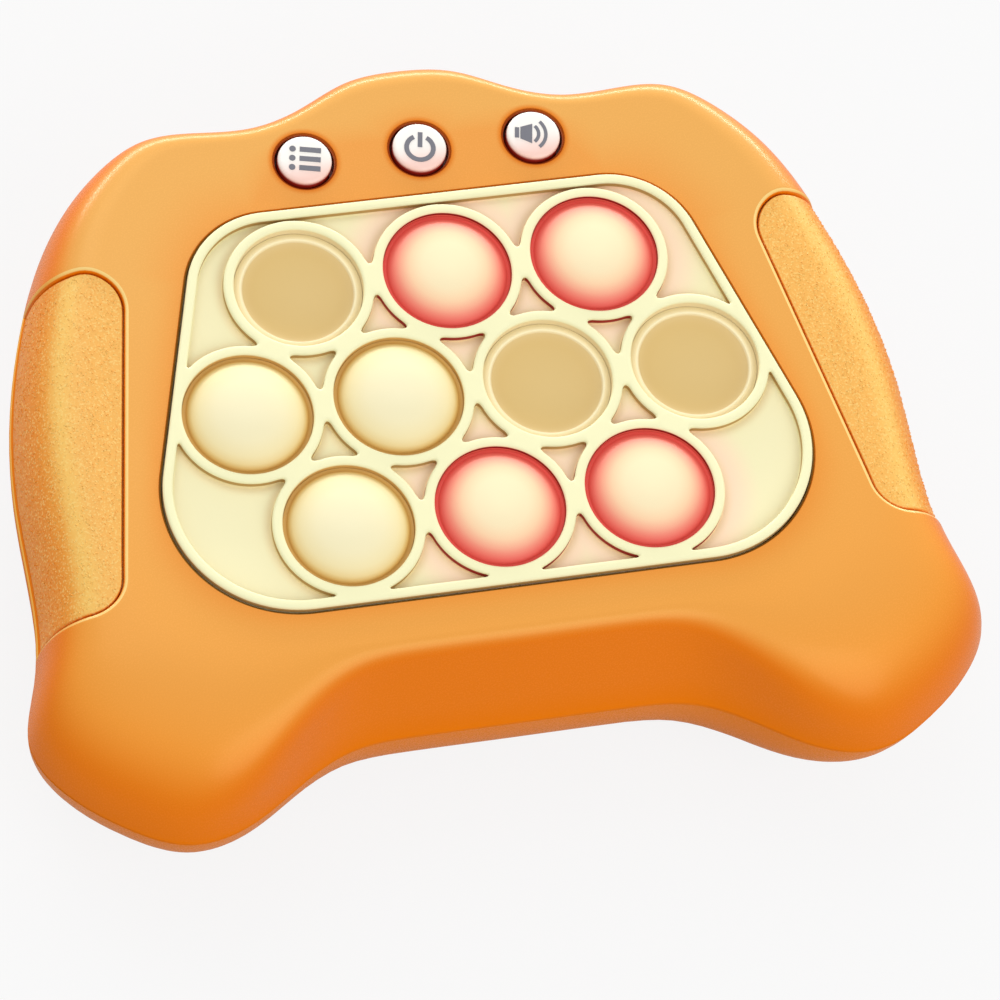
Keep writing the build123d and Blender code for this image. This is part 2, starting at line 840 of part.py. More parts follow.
# End contacts: a bowed leaf at each cell's flat end and a dimpled strip at its nub
end_room = bay_half_length - cell_half - contact_strip_thickness
with BuildPart() as battery_springs:
    for line, way in zip(cell_lines, (1, -1, 1)):
        with BuildSketch(Plane.YZ.offset(-way * bay_half_length)):
            with Locations((line, cell_height)):
                Rectangle(contact_strip_width, contact_strip_height)
        extrude(amount=way * contact_strip_thickness)
        near = way * (contact_strip_thickness / 2 - bay_half_length)
        far = -way * (cell_half + contact_strip_thickness)
        with BuildSketch(Plane.XZ.offset(-line)):
            with BuildLine():
                outer = ThreePointArc(
                    (near, cell_height - contact_strip_height / 2),
                    (far + way * contact_strip_thickness, cell_height),
                    (near, cell_height + contact_strip_height / 2),
                )
                inner = ThreePointArc(
                    (near, cell_height + contact_strip_height / 2 - contact_strip_thickness),
                    (far, cell_height),
                    (near, cell_height - contact_strip_height / 2 + contact_strip_thickness),
                )
                Line(outer @ 1, inner @ 0)
                Line(inner @ 1, outer @ 0)
            make_face()
        extrude(amount=contact_strip_width / 4, both=True)
finish(battery_springs.part, "battery_springs")

with BuildPart() as battery_plates:
    for line, way in zip(cell_lines, (1, -1, 1)):
        with BuildSketch(Plane.YZ.offset(way * bay_half_length)):
            with Locations((line, cell_height)):
                Rectangle(contact_strip_width, contact_strip_height)
        extrude(amount=-way * contact_strip_thickness)
        with BuildSketch(Plane.YZ.offset(way * cell_half)):
            with Locations((line, cell_height)):
                Circle(contact_dimple_radius)
        extrude(amount=way * end_room)
finish(battery_plates.part, "battery_plates")

# Battery door with grip ribs, and its two captive screws
with BuildPart() as battery_door:
    extrude(door_outline(door_recess, 0), amount=door_thickness)
    with Locations(*[(x, y, door_recess) for x, y in door_screw_places]):
        Cylinder(screw_radius + screw_clearance, 2 * (door_thickness + overrun), mode=Mode.SUBTRACT)
        Cylinder(screw_head_radius + screw_clearance, door_thickness, mode=Mode.SUBTRACT)
    with Locations((0, bay_shift, door_recess)):
        with GridLocations(0, door_rib_pitch, 1, door_rib_count):
            Box(door_rib_length, door_rib_width, door_rib_height, mode=Mode.SUBTRACT)
finish(battery_door.part, "battery_door")

with BuildPart() as battery_door_screws:
    with Locations(*[(x, y, door_recess + door_thickness / 2) for x, y in door_screw_places]):
        Cylinder(screw_head_radius, door_thickness / 2, align=(Align.CENTER, Align.CENTER, Align.MAX))
        Cylinder(
            screw_radius,
            door_screw_length - door_thickness / 2 - screw_clearance,
            align=(Align.CENTER, Align.CENTER, Align.MIN),
        )
finish(battery_door_screws.part, "battery_door_screws")

# Screws
seat_height = parting_height - screw_seat_depth
with BuildPart() as case_screws:
    with Locations(*[(x, y, seat_height) for x, y in column_places]):
        Cylinder(screw_head_radius, screw_head_height, align=(Align.CENTER, Align.CENTER, Align.MAX))
        Cylinder(screw_radius, case_screw_length, align=(Align.CENTER, Align.CENTER, Align.MIN))
finish(case_screws.part, "case_screws")

with BuildPart() as board_screws:
    with Locations(*[(x, y, board_underside) for x, y in post_places]):
        Cylinder(
            board_screw_head_radius,
            board_screw_head_height,
            align=(Align.CENTER, Align.CENTER, Align.MAX),
        )
        Cylinder(
            board_screw_radius,
            board_screw_length - screw_clearance,
            align=(Align.CENTER, Align.CENTER, Align.MIN),
        )
finish(board_screws.part, "board_screws")


def lead(points):
    """One lead: straight runs joined by arcs as large as the runs allow."""
    runs = [(after - point) for point, after in zip(points, points[1:])]
    radii = []
    for run, after in zip(runs, runs[1:]):
        turn = radians(run.get_angle(after))
        radii.append(lead_arc_share * min(run.length, after.length) / tan(turn / 2))
    print("lead radii", [round(radius, 1) for radius in radii])
    with BuildPart() as wire:
        with BuildLine():
            path = FilletPolyline(*points, radius=radii)
        with BuildSketch(Plane(path @ 0, z_dir=path % 0)):
            Circle(lead_radius)
        sweep()
    return wire.part


# Leads from the bay's end wall and from the speaker's rim up to their sockets
socket_foot = board_underside - socket_height
bay_outside = bay_half_length + bay_wall
battery_leads = []
speaker_leads = []
for side in (-1, 1):
    step = side * lead_spread / 2
    exit_height = bay_inside_top - lead_radius
    start = Vector(bay_outside, battery_socket_y + step, exit_height)
    elbow = Vector(battery_socket_x, battery_socket_y + step, exit_height)
    top = Vector(battery_socket_x, battery_socket_y + step, socket_foot)
    battery_leads.append(lead([start, elbow, top]))
    basket_top = wall + speaker_basket_height + speaker_flange
    lead_x = magnet_radius + lead_magnet_gap + lead_radius + lead_spread / 2
    start = Vector(lead_x + step, speaker_y, basket_top)
    elbow = Vector(lead_x + step, speaker_y, (basket_top + socket_foot) / 2)
    turn = Vector(speaker_socket_x + step, speaker_socket_y, (basket_top + socket_foot) / 2)
    top = Vector(speaker_socket_x + step, speaker_socket_y, socket_foot)
    speaker_leads.append(lead([start, elbow, turn, top]))

with BuildPart() as battery_lead_pair:
    add(battery_leads)
finish(battery_lead_pair.part, "battery_leads")

with BuildPart() as speaker_lead_pair:
    add(speaker_leads)
finish(speaker_lead_pair.part, "speaker_leads")
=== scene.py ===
# %% [markdown]
# # An electronic bubble game, dressed for its picture
#
# The toy is a hand-held case shaped like a gamepad, with ten silicone bubbles that pop in and out, four
# of them lit red from below. The solids come from the CAD model, already in place and in metres. This
# lesson gives them the surfaces that the eye meets: smooth moulded plastic, soft silicone, grained
# grips and printed buttons.

# %% Load the frame
import json
from math import ceil, cos, pi, radians, sin, sqrt

import bmesh
import bpy
import numpy as np
from mathutils import Matrix, Vector
from mathutils.bvhtree import BVHTree
from mathutils.geometry import delaunay_2d_cdt


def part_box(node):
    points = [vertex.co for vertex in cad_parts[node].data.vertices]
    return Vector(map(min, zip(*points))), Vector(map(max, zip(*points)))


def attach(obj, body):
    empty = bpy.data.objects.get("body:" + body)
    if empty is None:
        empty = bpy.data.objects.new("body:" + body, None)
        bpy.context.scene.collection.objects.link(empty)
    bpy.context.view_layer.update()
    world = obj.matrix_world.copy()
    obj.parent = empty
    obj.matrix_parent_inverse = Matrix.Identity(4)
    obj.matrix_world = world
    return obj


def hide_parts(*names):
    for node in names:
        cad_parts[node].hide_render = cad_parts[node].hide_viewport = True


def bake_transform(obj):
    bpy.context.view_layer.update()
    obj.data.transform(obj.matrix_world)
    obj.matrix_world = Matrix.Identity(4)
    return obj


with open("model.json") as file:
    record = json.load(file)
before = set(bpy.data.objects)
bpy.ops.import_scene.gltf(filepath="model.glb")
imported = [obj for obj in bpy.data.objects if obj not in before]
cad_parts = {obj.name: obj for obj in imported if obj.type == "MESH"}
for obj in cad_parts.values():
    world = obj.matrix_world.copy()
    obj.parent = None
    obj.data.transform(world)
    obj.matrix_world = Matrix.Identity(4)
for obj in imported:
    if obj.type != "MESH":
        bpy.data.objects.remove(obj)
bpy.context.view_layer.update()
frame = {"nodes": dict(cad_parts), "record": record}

mm = 0.001


def linked(name, data):
    """An object of some data, in the scene."""
    made = bpy.data.objects.new(name, data)
    bpy.context.scene.collection.objects.link(made)
    return made


# %% [markdown]
# ## The camera
#
# The photograph looks down on the playing face from the player's left. The place and the three angles
# were worked out from the ten bubbles, whose spacing is known, so the camera stands where the
# photographer did. Distances are in bubble pitches from the middle of the field, because that is what
# the fit was made in. A long lens keeps the outlines nearly parallel, as they are in the photograph.

# %% Camera
bubble_pitch = 22.0
field_shift = 0.8
case_height = 36.0
field_centre = Vector((0, field_shift, case_height)) * mm
swing, lift, roll = radians(-28.631), radians(63.082), radians(18.780)
toward = Vector((sin(swing) * cos(lift), -cos(swing) * cos(lift), sin(lift)))
level = Vector((cos(swing), sin(swing), 0))
upward = toward.cross(level)
right = level * cos(roll) + upward * sin(roll)
above = upward * cos(roll) - level * sin(roll)
offset = right * 0.1741 - above * 0.7255 + toward * 32.5555
camera_data = bpy.data.cameras.new("photo_camera")
camera_data.lens = 180
camera_data.sensor_width = 36
camera_data.clip_start = 0.01
camera_data.clip_end = 20
camera = linked("photo_camera", camera_data)
pose = Matrix((right, above, toward)).transposed().to_4x4()
pose.translation = field_centre + offset * bubble_pitch * mm
camera.matrix_world = pose
bpy.context.scene.camera = camera
print("camera at", [round(value, 3) for value in pose.translation])

# %% [markdown]
# ## A helper for nodes
#
# Materials and Geometry Nodes are both trees of nodes. One small function adds a node of any kind: its
# settings are given by name, and each input takes either a number or the socket of another node, which
# it links. Colours are written as the hex values that a paint program shows and turned to the linear
# values that light is reckoned in.

# %% Node and colour helpers
def add(tree, kind, inputs=None, **settings):
    """One node with its settings. An input is a value, or the socket that feeds it."""
    made = tree.nodes.new(kind)
    for name, value in settings.items():
        setattr(made, name, value)
    for key, value in (inputs or {}).items():
        if isinstance(value, bpy.types.NodeSocket):
            tree.links.new(value, made.inputs[key])
        else:
            made.inputs[key].default_value = value
    return made


def linear(hex_colour):
    """A hex colour such as "F2A449" as linear red, green, blue and one."""
    values = []
    for start in (0, 2, 4):
        share = int(hex_colour[start : start + 2], 16) / 255
        values.append(share / 12.92 if share <= 0.04045 else ((share + 0.055) / 1.055) ** 2.4)
    return (*values, 1.0)


def new_material(name):
    """An empty material with its tree, its surface shader and the object's own coordinates."""
    material = bpy.data.materials.new(name)
    material.use_nodes = True
    tree = material.node_tree
    tree.nodes.clear()
    shader = add(tree, "ShaderNodeBsdfPrincipled")
    add(tree, "ShaderNodeOutputMaterial", {"Surface": shader.outputs["BSDF"]})
    place = add(tree, "ShaderNodeTexCoord").outputs["Object"]
    return material, tree, shader, place


def blend_colours(tree, share, first, second):
    """The socket of a mix of two colours."""
    mixed = add(
        tree, "ShaderNodeMix", {0: share, 6: first, 7: second}, data_type="RGBA", blend_type="MIX"
    )
    return mixed.outputs[2]


def fade(tree, value, start, end):
    """A smooth 0 to 1 as a value goes from start to end, in the value's own unit."""
    ranged = add(
        tree,
        "ShaderNodeMapRange",
        {"Value": value, "From Min": start, "From Max": end},
        interpolation_type="SMOOTHSTEP",
    )
    return ranged.outputs["Result"]


print("helpers ready; mid grey is", round(linear("808080")[0], 3))

# %% [markdown]
# ## Moulded ABS for the case
#
# The case is injection-moulded ABS, tinted through, with a satin spark-eroded texture of about 0.25 mm
# grain that spreads its highlights. Light and shade are painted into its colour: painted light makes it
# paler and yellower higher up the case, a little higher at the back than at the front, and painted shade
# makes it a deeper orange where an attribute called lean, which is 1 where the surface faces up and 0
# where it stands upright, falls. The fine grain goes to the bump and a little to the roughness, and its
# mirror light is golden. Below the parting line the shell is duller and one plain orange. Round each
# button the red light of the lamp under it is painted on the plastic, darkest at the hole's edge.

# %% Orange ABS
button_line = 40.4
button_spacing = 17.2
button_hole_radius = 4.4


def moulded_grain(tree, shader, place, grain, depth, rough, spread):
    """A spark-eroded texture: grain in millimetres, depth in metres, on the bump and roughness."""
    noise = add(tree, "ShaderNodeTexNoise", {"Vector": place, "Scale": 1 / (grain * mm), "Detail": 2.0})
    height = add(
        tree, "ShaderNodeBump", {"Height": noise.outputs["Fac"], "Distance": depth, "Strength": 1.0}
    )
    tree.links.new(height.outputs["Normal"], shader.inputs["Normal"])
    sheen = add(
        tree,
        "ShaderNodeMapRange",
        {"Value": noise.outputs["Fac"], "To Min": rough - spread, "To Max": rough + spread},
    )
    tree.links.new(sheen.outputs["Result"], shader.inputs["Roughness"])
    return noise.outputs["Fac"]


def ramp_colour(tree, share, stops, ease="LINEAR"):
    """The socket of a colour that runs through stops of share and hex."""
    ramp = add(tree, "ShaderNodeValToRGB", {"Fac": share})
    ramp.color_ramp.interpolation = ease
    elements = ramp.color_ramp.elements
    while len(elements) < len(stops):
        elements.new(0.5)
    for element, (at, colour) in zip(elements, stops):
        element.position = at
        element.color = linear(colour)
    return ramp.outputs["Color"]


def maths(tree, operation, *values):
    """The socket of a sum of numbers or sockets."""
    return add(tree, "ShaderNodeMath", dict(enumerate(values)), operation=operation).outputs[0]


def product(tree, first, second):
    """The socket of two masks multiplied."""
    return maths(tree, "MULTIPLY", first, second)


def lean_shade(tree, colour, steep, start=0.95, end=0.5):
    """Paints shade: blends a colour into a deeper one where the surface leans from facing up to upright."""
    lean = add(tree, "ShaderNodeAttribute", attribute_name="lean").outputs["Fac"]
    return blend_colours(tree, fade(tree, lean, start, end), colour, linear(steep))


def orange_abs(name, stops, steep):
    material, tree, shader, place = new_material(name)
    moulded_grain(tree, shader, place, 0.25, 0.000004, 0.27, 0.04)
    drift = add(tree, "ShaderNodeTexNoise", {"Vector": place, "Scale": 1 / (30 * mm), "Detail": 1.0})
    parts = add(tree, "ShaderNodeSeparateXYZ", {"Vector": place})
    # Painted light: the colour runs paler up the case's height, a little higher at the back.
    tilt = maths(tree, "MULTIPLY_ADD", parts.outputs["Y"], 0.035, parts.outputs["Z"])
    wander = maths(tree, "MULTIPLY_ADD", drift.outputs["Fac"], 0.8 * mm, tilt)
    level = add(
        tree, "ShaderNodeMapRange", {"Value": wander, "From Min": 18 * mm, "From Max": 38 * mm}
    ).outputs["Result"]
    # Painted shade: a deeper orange where the surface stands upright.
    tint = lean_shade(tree, ramp_colour(tree, level, stops), steep)
    below = fade(tree, parts.outputs["Z"], 22 * mm, 21 * mm)
    tint = blend_colours(tree, below, tint, linear("EC8420"))
    # Painted light of the lamp under each button: orange round its hole and a darker red at the gap.
    near = maths(
        tree, "WRAP", parts.outputs["X"], -button_spacing / 2 * mm, button_spacing / 2 * mm
    )
    flat = add(tree, "ShaderNodeCombineXYZ", {"X": near, "Y": parts.outputs["Y"]}).outputs[0]
    reach = add(
        tree, "ShaderNodeVectorMath", {0: flat, 1: (0, button_line * mm, 0)}, operation="DISTANCE"
    ).outputs["Value"]
    lamp_light_reach = fade(tree, reach, (button_hole_radius + 1.3) * mm, (button_hole_radius + 0.3) * mm)
    painted_gap_darkening = fade(tree, reach, (button_hole_radius + 0.55) * mm, (button_hole_radius + 0.1) * mm)
    painted_glow = blend_colours(tree, painted_gap_darkening, linear("DE7A18"), linear("9A3A0C"))
    side = maths(tree, "ABSOLUTE", parts.outputs["X"])
    inside = maths(tree, "LESS_THAN", side, 1.5 * button_spacing * mm)
    near_face = fade(tree, parts.outputs["Z"], 32 * mm, 34.5 * mm)
    mask = product(tree, product(tree, lamp_light_reach, inside), near_face)
    tree.links.new(blend_colours(tree, mask, tint, painted_glow), shader.inputs["Base Color"])
    shader.inputs["IOR"].default_value = 1.5
    shader.inputs["Specular Tint"].default_value = linear("FFE2AC")
    shine = add(
        tree,
        "ShaderNodeMapRange",
        {
            "Value": parts.outputs["Z"],
            "From Min": 21 * mm,
            "From Max": 26 * mm,
            "To Min": 0.05,
            "To Max": 0.36,
        },
    )
    tree.links.new(shine.outputs["Result"], shader.inputs["Specular IOR Level"])
    return material


case_abs = orange_abs(
    "moulded_orange_abs",
    ((0.1, "E87C10"), (0.45, "EC881C"), (0.7, "F09938"), (0.86, "ECA148"), (0.97, "E8AA58")),
    "EA7803",
)
# Painted shade in the panel's gap, a painted highlight on the grip beds' lips, and the painted red light of
# the lamps in the button gaps.
gap_shade = orange_abs("abs_painted_shade_in_gap", ((0.0, "7E5820"), (1.0, "8C6426")), "7A5219")
painted_edge_highlight = orange_abs("abs_painted_edge_highlight", ((0.0, "F3BE62"), (1.0, "F8D588")), "F0AE4C")
lit_gap = orange_abs("abs_painted_lamp_light_in_gap", ((0.0, "5A0E0C"), (1.0, "64120E")), "560C0A")
print("case plastic:", case_abs.name)

# %% [markdown]
# ## Soft-touch grips
#
# The two grips are a separate moulding in golden orange, with a grain that can be felt. Up close the
# colour is a fine scatter: painted glints of pale gold where the grain's noise runs high, and olive
# specks at random among them. The grain is about 0.3 mm, a little coarser than the real one so that it
# still shows from half a metre. As on the case, light and shade are painted: a painted highlight along
# the grip's shoulder, and painted shade of deep orange where it turns down to the side, and its lean
# tells where. The raised nubs themselves are real geometry, added further down.

# %% Speckled grip plastic
def speckled_grip(name):
    material, tree, shader, place = new_material(name)
    grain = moulded_grain(tree, shader, place, 0.32, 0.00003, 0.45, 0.08)
    lean = add(tree, "ShaderNodeAttribute", attribute_name="lean").outputs["Fac"]
    drift = add(tree, "ShaderNodeTexNoise", {"Vector": place, "Scale": 1 / (7 * mm), "Detail": 2.0})
    wander = maths(tree, "MULTIPLY_ADD", drift.outputs["Fac"], 0.04, lean)
    # Painted highlight at the shoulder and painted shade down the side, by lean.
    golden = ramp_colour(
        tree,
        maths(tree, "SUBTRACT", wander, 0.02),
        ((0.5, "EC8A1E"), (0.72, "EE9A32"), (0.87, "F6C868"), (0.95, "F4BC5E"), (1.0, "F0B054")),
        "B_SPLINE",
    )
    # Painted glints of pale gold.
    glints = product(tree, fade(tree, grain, 0.52, 0.66), 0.55)
    bright = blend_colours(tree, glints, golden, linear("F9D885"))
    cells = add(
        tree, "ShaderNodeTexVoronoi", {"Vector": place, "Scale": 1 / (0.36 * mm), "Randomness": 1.0}
    )
    scatter = add(tree, "ShaderNodeTexNoise", {"Vector": place, "Scale": 1 / (0.9 * mm), "Detail": 2.0})
    dot = fade(tree, cells.outputs["Distance"], 0.42, 0.18)
    some = fade(tree, scatter.outputs["Fac"], 0.46, 0.62)
    # Olive specks, scattered at random by the cells and the noise.
    olive_speck = product(tree, dot, some)
    colour = blend_colours(tree, product(tree, olive_speck, 0.5), bright, linear("BC8E34"))
    tree.links.new(colour, shader.inputs["Base Color"])
    shader.inputs["Specular IOR Level"].default_value = 0.3
    return material


grip_plastic = speckled_grip("speckled_soft_touch_plastic")
print("grip plastic:", grip_plastic.name)

# %% [markdown]
# ## Cream silicone
#
# The bubble mat is moulded silicone, matte and slightly see-through. The shade in its pockets is
# painted: their floors are tan towards the rings' feet, and their walls carry a brown band. Round the
# four lit bubbles the red light that leaks through the web is painted too: the pockets there are peach,
# and the feet of the ring walls dark red. The bores carry painted shade and light by their bubble's kind.
# All of this is painted by where a point lies on the object, in millimetres, so it stays put from every side.

# %% Silicone of the mat
row_pitch = bubble_pitch * sqrt(3) / 2
bore_radius = 9.4
ring_radius = 10.95
ring_top = 36.8
mat_floor = 35.2
bubble_places = [
    ((column - (count - 1) / 2) * bubble_pitch, field_shift + row * row_pitch)
    for row, count in zip((1, 0, -1), (3, 4, 3))
    for column in range(count)
]
pressed_bubbles = (1, 6, 7)
lit_bubbles = (2, 3, 9, 10)
plain_bubbles = (4, 5, 8)


def nearest(tree, flat, numbers):
    """Distance in plan from a point to the nearest of some bubbles' centres, in metres."""
    least = None
    for number in numbers:
        x, y = bubble_places[number - 1]
        away = add(
            tree, "ShaderNodeVectorMath", {0: flat, 1: (x * mm, y * mm, 0)}, operation="DISTANCE"
        ).outputs["Value"]
        least = away if least is None else maths(tree, "MINIMUM", least, away)
    return least


def mat_silicone(name):
    material, tree, shader, place = new_material(name)
    moulded_grain(tree, shader, place, 0.4, 0.000004, 0.52, 0.04)
    parts = add(tree, "ShaderNodeSeparateXYZ", {"Vector": place})
    height = parts.outputs["Z"]
    flat = add(tree, "ShaderNodeCombineXYZ", {"X": parts.outputs["X"], "Y": parts.outputs["Y"]}).outputs[0]
    to_lit = nearest(tree, flat, lit_bubbles)
    to_any = nearest(tree, flat, range(1, 11))
    colour = blend_colours(
        tree, fade(tree, height, 36.5 * mm, 35.2 * mm), linear("F4F1C3"), linear("F6EFC1")
    )
    # Painted light: peach in the pockets round the lit bubbles.
    pocket = product(
        tree,
        fade(tree, to_lit, 17 * mm, 12 * mm),
        fade(tree, height, 36.2 * mm, 35.4 * mm),
    )
    colour = blend_colours(tree, pocket, colour, linear("FFE3C2"))
    # Painted shade: tan at the feet of the rings.
    foot = product(
        tree,
        fade(tree, to_any, (ring_radius + 1.6) * mm, (ring_radius + 0.1) * mm),
        fade(tree, height, 35.7 * mm, 35.3 * mm),
    )
    colour = blend_colours(tree, product(tree, foot, 0.5), colour, linear("F4DDA8"))
    # Painted shade: a brown band on the pocket walls, away from the bores.
    upper = product(
        tree,
        fade(tree, height, 36.45 * mm, 36.25 * mm),
        fade(tree, height, 35.45 * mm, 35.65 * mm),
    )
    away_from_bores = fade(tree, to_any, (ring_radius - 0.5) * mm, (ring_radius - 0.3) * mm)
    brown = product(tree, upper, away_from_bores)
    colour = blend_colours(tree, brown, colour, linear("B99456"))
    # Painted light: that band turns dark red beside the lit bubbles.
    by_lit = fade(tree, to_lit, (ring_radius + 0.35) * mm, (ring_radius + 0.15) * mm)
    colour = blend_colours(tree, product(tree, brown, by_lit), colour, linear("9A1B16"))
    # Painted shade and light in the bores: brown for unlit bubbles, pale cream for pressed ones, the red of
    # the lamp for lit ones.
    for numbers, painted_bore_light_and_shade in (
        (pressed_bubbles, "F0DEB0"), (plain_bubbles, "DDB368"), (lit_bubbles, "F07866"),
    ):
        in_bore = product(
            tree,
            fade(tree, nearest(tree, flat, numbers), (bore_radius + 0.3) * mm, (bore_radius + 0.1) * mm),
            fade(tree, height, 36.6 * mm, 36.3 * mm),
        )
        colour = blend_colours(tree, in_bore, colour, linear(painted_bore_light_and_shade))
    # Painted red light and shade: a dark red line at the top of each lit bore.
    lip_height = product(
        tree, fade(tree, height, 35.95 * mm, 36.05 * mm), fade(tree, height, 36.55 * mm, 36.45 * mm)
    )
    near_bore = fade(tree, to_lit, (bore_radius + 0.2) * mm, (bore_radius + 0.1) * mm)
    lip = product(tree, near_bore, lip_height)
    colour = blend_colours(tree, lip, colour, linear("8E1B16"))
    tree.links.new(colour, shader.inputs["Base Color"])
    shader.inputs["IOR"].default_value = 1.41
    shader.inputs["Specular IOR Level"].default_value = 0.35
    return material


cream_silicone = mat_silicone("matte_cream_silicone")
print("mat silicone:", cream_silicone.name)

# %% [markdown]
# ## Three silicones for the bubbles, with painted light and shade
#
# The bubbles are the same silicone, thinner. An unlit one is cream, and painted shade turns its edge tan
# and its foot brown where it dips into its ring. One that is pressed in is painted tan as a shadow, with a
# painted highlight on its lip. A lit one has its lamp under it, and that light is painted: the crown
# stays cream, the thin edge turns red, and the colour itself glows a little. Each bubble carries an
# attribute called reach, 0 at its middle and 1 at its ring, and a colour ramp reads it.

# %% Bubble silicones
def bubble_silicone(name, stops, painted_glow):
    """Silicone whose colour follows reach, with painted light and shade, and a painted glow of the lamp under
    it.
    """
    material, tree, shader, place = new_material(name)
    moulded_grain(tree, shader, place, 0.4, 0.000004, 0.46, 0.04)
    reach = add(tree, "ShaderNodeAttribute", attribute_name="reach").outputs["Fac"]
    colour = ramp_colour(tree, reach, stops, "B_SPLINE")
    tree.links.new(colour, shader.inputs["Base Color"])
    shader.inputs["IOR"].default_value = 1.41
    shader.inputs["Specular IOR Level"].default_value = 0.35
    if painted_glow:
        tree.links.new(colour, shader.inputs["Emission Color"])
        shader.inputs["Emission Strength"].default_value = painted_glow
    return material


# Painted shade: tan at the edge and brown in the groove.
raised_silicone = bubble_silicone(
    "unlit_silicone_dome",
    (
        (0, "F4ECC4"), (0.5, "F4EAC0"), (0.74, "F2E3AF"), (0.85, "EDD596"), (0.9, "DEB868"),
        (0.94, "C69648"), (0.99, "DCB468"),
    ),
    0,
)
# Painted shadow: tan over the dish, with a painted highlight on its lip.
pressed_silicone = bubble_silicone(
    "pressed_silicone_dish",
    (
        (0, "DDBF80"), (0.6, "DCBD7C"), (0.85, "D8B775"), (0.866, "FBEBBC"), (0.9, "FFF6CE"),
        (0.925, "FBEBBC"), (0.96, "EAD8A4"),
    ),
    0,
)
# Painted light of the lamp under it: red at the edge, and a faint glow.
lit_silicone = bubble_silicone(
    "lit_silicone_dome",
    (
        (0, "F2E8BE"), (0.4, "F4E3BA"), (0.6, "F5D0A6"), (0.74, "F0A286"), (0.85, "EA6A5C"),
        (0.93, "E5544A"), (0.99, "E05448"),
    ),
    0.06,
)
print("bubble silicones:", raised_silicone.name, pressed_silicone.name, lit_silicone.name)

# %% [markdown]
# ## Button and small-part finishes
#
# The buttons are glossy off-white caps, with the light of the lamp under them painted on: pink on the
# player's side and deep red low on their sides. Their symbols are grey pad print. The parts inside the
# case get the plain finish of what they are: solder mask, carbon ink, drawn aluminium, nickel-plated
# steel, pressed paper and sleeved wire. Most are one recipe: a colour that drifts a little, a roughness,
# and a grain of a real size. The cells have a recipe of their own, a dark sleeve with copper rings that
# stops short of their bare nickel ends.

# %% Plain finishes
def plain_finish(name, colour, second, rough, grain, depth, metal=0.0, drift=4.0):
    """A colour that drifts to a second one over drift millimetres, under a moulded or drawn grain."""
    material, tree, shader, place = new_material(name)
    moulded_grain(tree, shader, place, grain, depth, rough, rough * 0.15)
    cloud = add(tree, "ShaderNodeTexNoise", {"Vector": place, "Scale": 1 / (drift * mm), "Detail": 2.0})
    tint = blend_colours(tree, cloud.outputs["Fac"], linear(colour), linear(second))
    tree.links.new(tint, shader.inputs["Base Color"])
    shader.inputs["Metallic"].default_value = metal
    return material


def button_abs(name):
    material, tree, shader, place = new_material(name)
    moulded_grain(tree, shader, place, 0.3, 0.000002, 0.3, 0.03)
    parts = add(tree, "ShaderNodeSeparateXYZ", {"Vector": place})
    # Painted light of the lamp under the cap: pink towards the front and deep red low down.
    front = fade(tree, parts.outputs["Y"], (button_line + 0.6) * mm, (button_line - 3.4) * mm)
    deep = fade(tree, parts.outputs["Z"], 36.5 * mm, 35.9 * mm)
    colour = blend_colours(tree, front, linear("F7F3EC"), linear("FBD3C6"))
    colour = blend_colours(tree, deep, colour, linear("A8281C"))
    tree.links.new(colour, shader.inputs["Base Color"])
    return material


def cell_sleeve(name):
    """A graphite sleeve with copper rings that leaves the nickel of both ends bare."""
    material, tree, shader, place = new_material(name)
    moulded_grain(tree, shader, place, 0.8, 0.000003, 0.3, 0.04)
    along = add(tree, "ShaderNodeSeparateXYZ", {"Vector": place}).outputs["X"]
    reach = maths(tree, "DIVIDE", maths(tree, "ABSOLUTE", along), 25 * mm)
    print_bands = ramp_colour(
        tree,
        reach,
        ((0.0, "2B2F36"), (0.6, "2B2F36"), (0.61, "B97A48"), (0.72, "B97A48"), (0.73, "2B2F36"),
         (0.83, "2B2F36"), (0.84, "C4C1B8")),
    )
    tree.links.new(print_bands, shader.inputs["Base Color"])
    bare = maths(tree, "GREATER_THAN", reach, 0.835)
    tree.links.new(bare, shader.inputs["Metallic"])
    return material


finishes = {
    "case_plastic": case_abs,
    "grip_plastic": grip_plastic,
    "silicone": cream_silicone,
    "button_plastic": button_abs("glossy_off_white_abs"),
    "white_plastic": plain_finish("moulded_white_abs", "ECEBE4", "E4E2DA", 0.5, 0.3, 0.000004),
    "board": plain_finish("green_solder_mask", "1C5C33", "174F2C", 0.35, 0.6, 0.000006),
    "led_epoxy": plain_finish("clear_led_epoxy", "F6EFD2", "EFE2B4", 0.2, 0.4, 0.000002),
    "carbon_print": plain_finish("carbon_ink", "1D1D1D", "262626", 0.75, 0.2, 0.000006),
    "dark_plastic": plain_finish("moulded_black_plastic", "1B1B1D", "222225", 0.5, 0.25, 0.000004),
    "aluminium_can": plain_finish("drawn_aluminium", "C9CBCE", "BFC1C5", 0.3, 0.3, 0.000002, 1.0),
    "plated_steel": plain_finish("nickel_plated_steel", "C4C1B8", "B7B4AB", 0.28, 0.5, 0.000003, 1.0),
    "paper_cone": plain_finish("pressed_paper", "2C2926", "383430", 0.85, 0.35, 0.00002),
    "cell_jacket": cell_sleeve("printed_cell_sleeve"),
    "lead_sleeve": plain_finish("red_pvc_sleeve", "B3221C", "A41D18", 0.4, 0.5, 0.000004),
}
symbol_print = plain_finish("grey_pad_print", "77777F", "6E6E77", 0.6, 0.2, 0.000003)
for part in frame["record"]["subparts"]:
    solid = frame["nodes"][part["node"]]
    solid.data.materials.clear()
    solid.data.materials.append(finishes[part["material_slot"]])

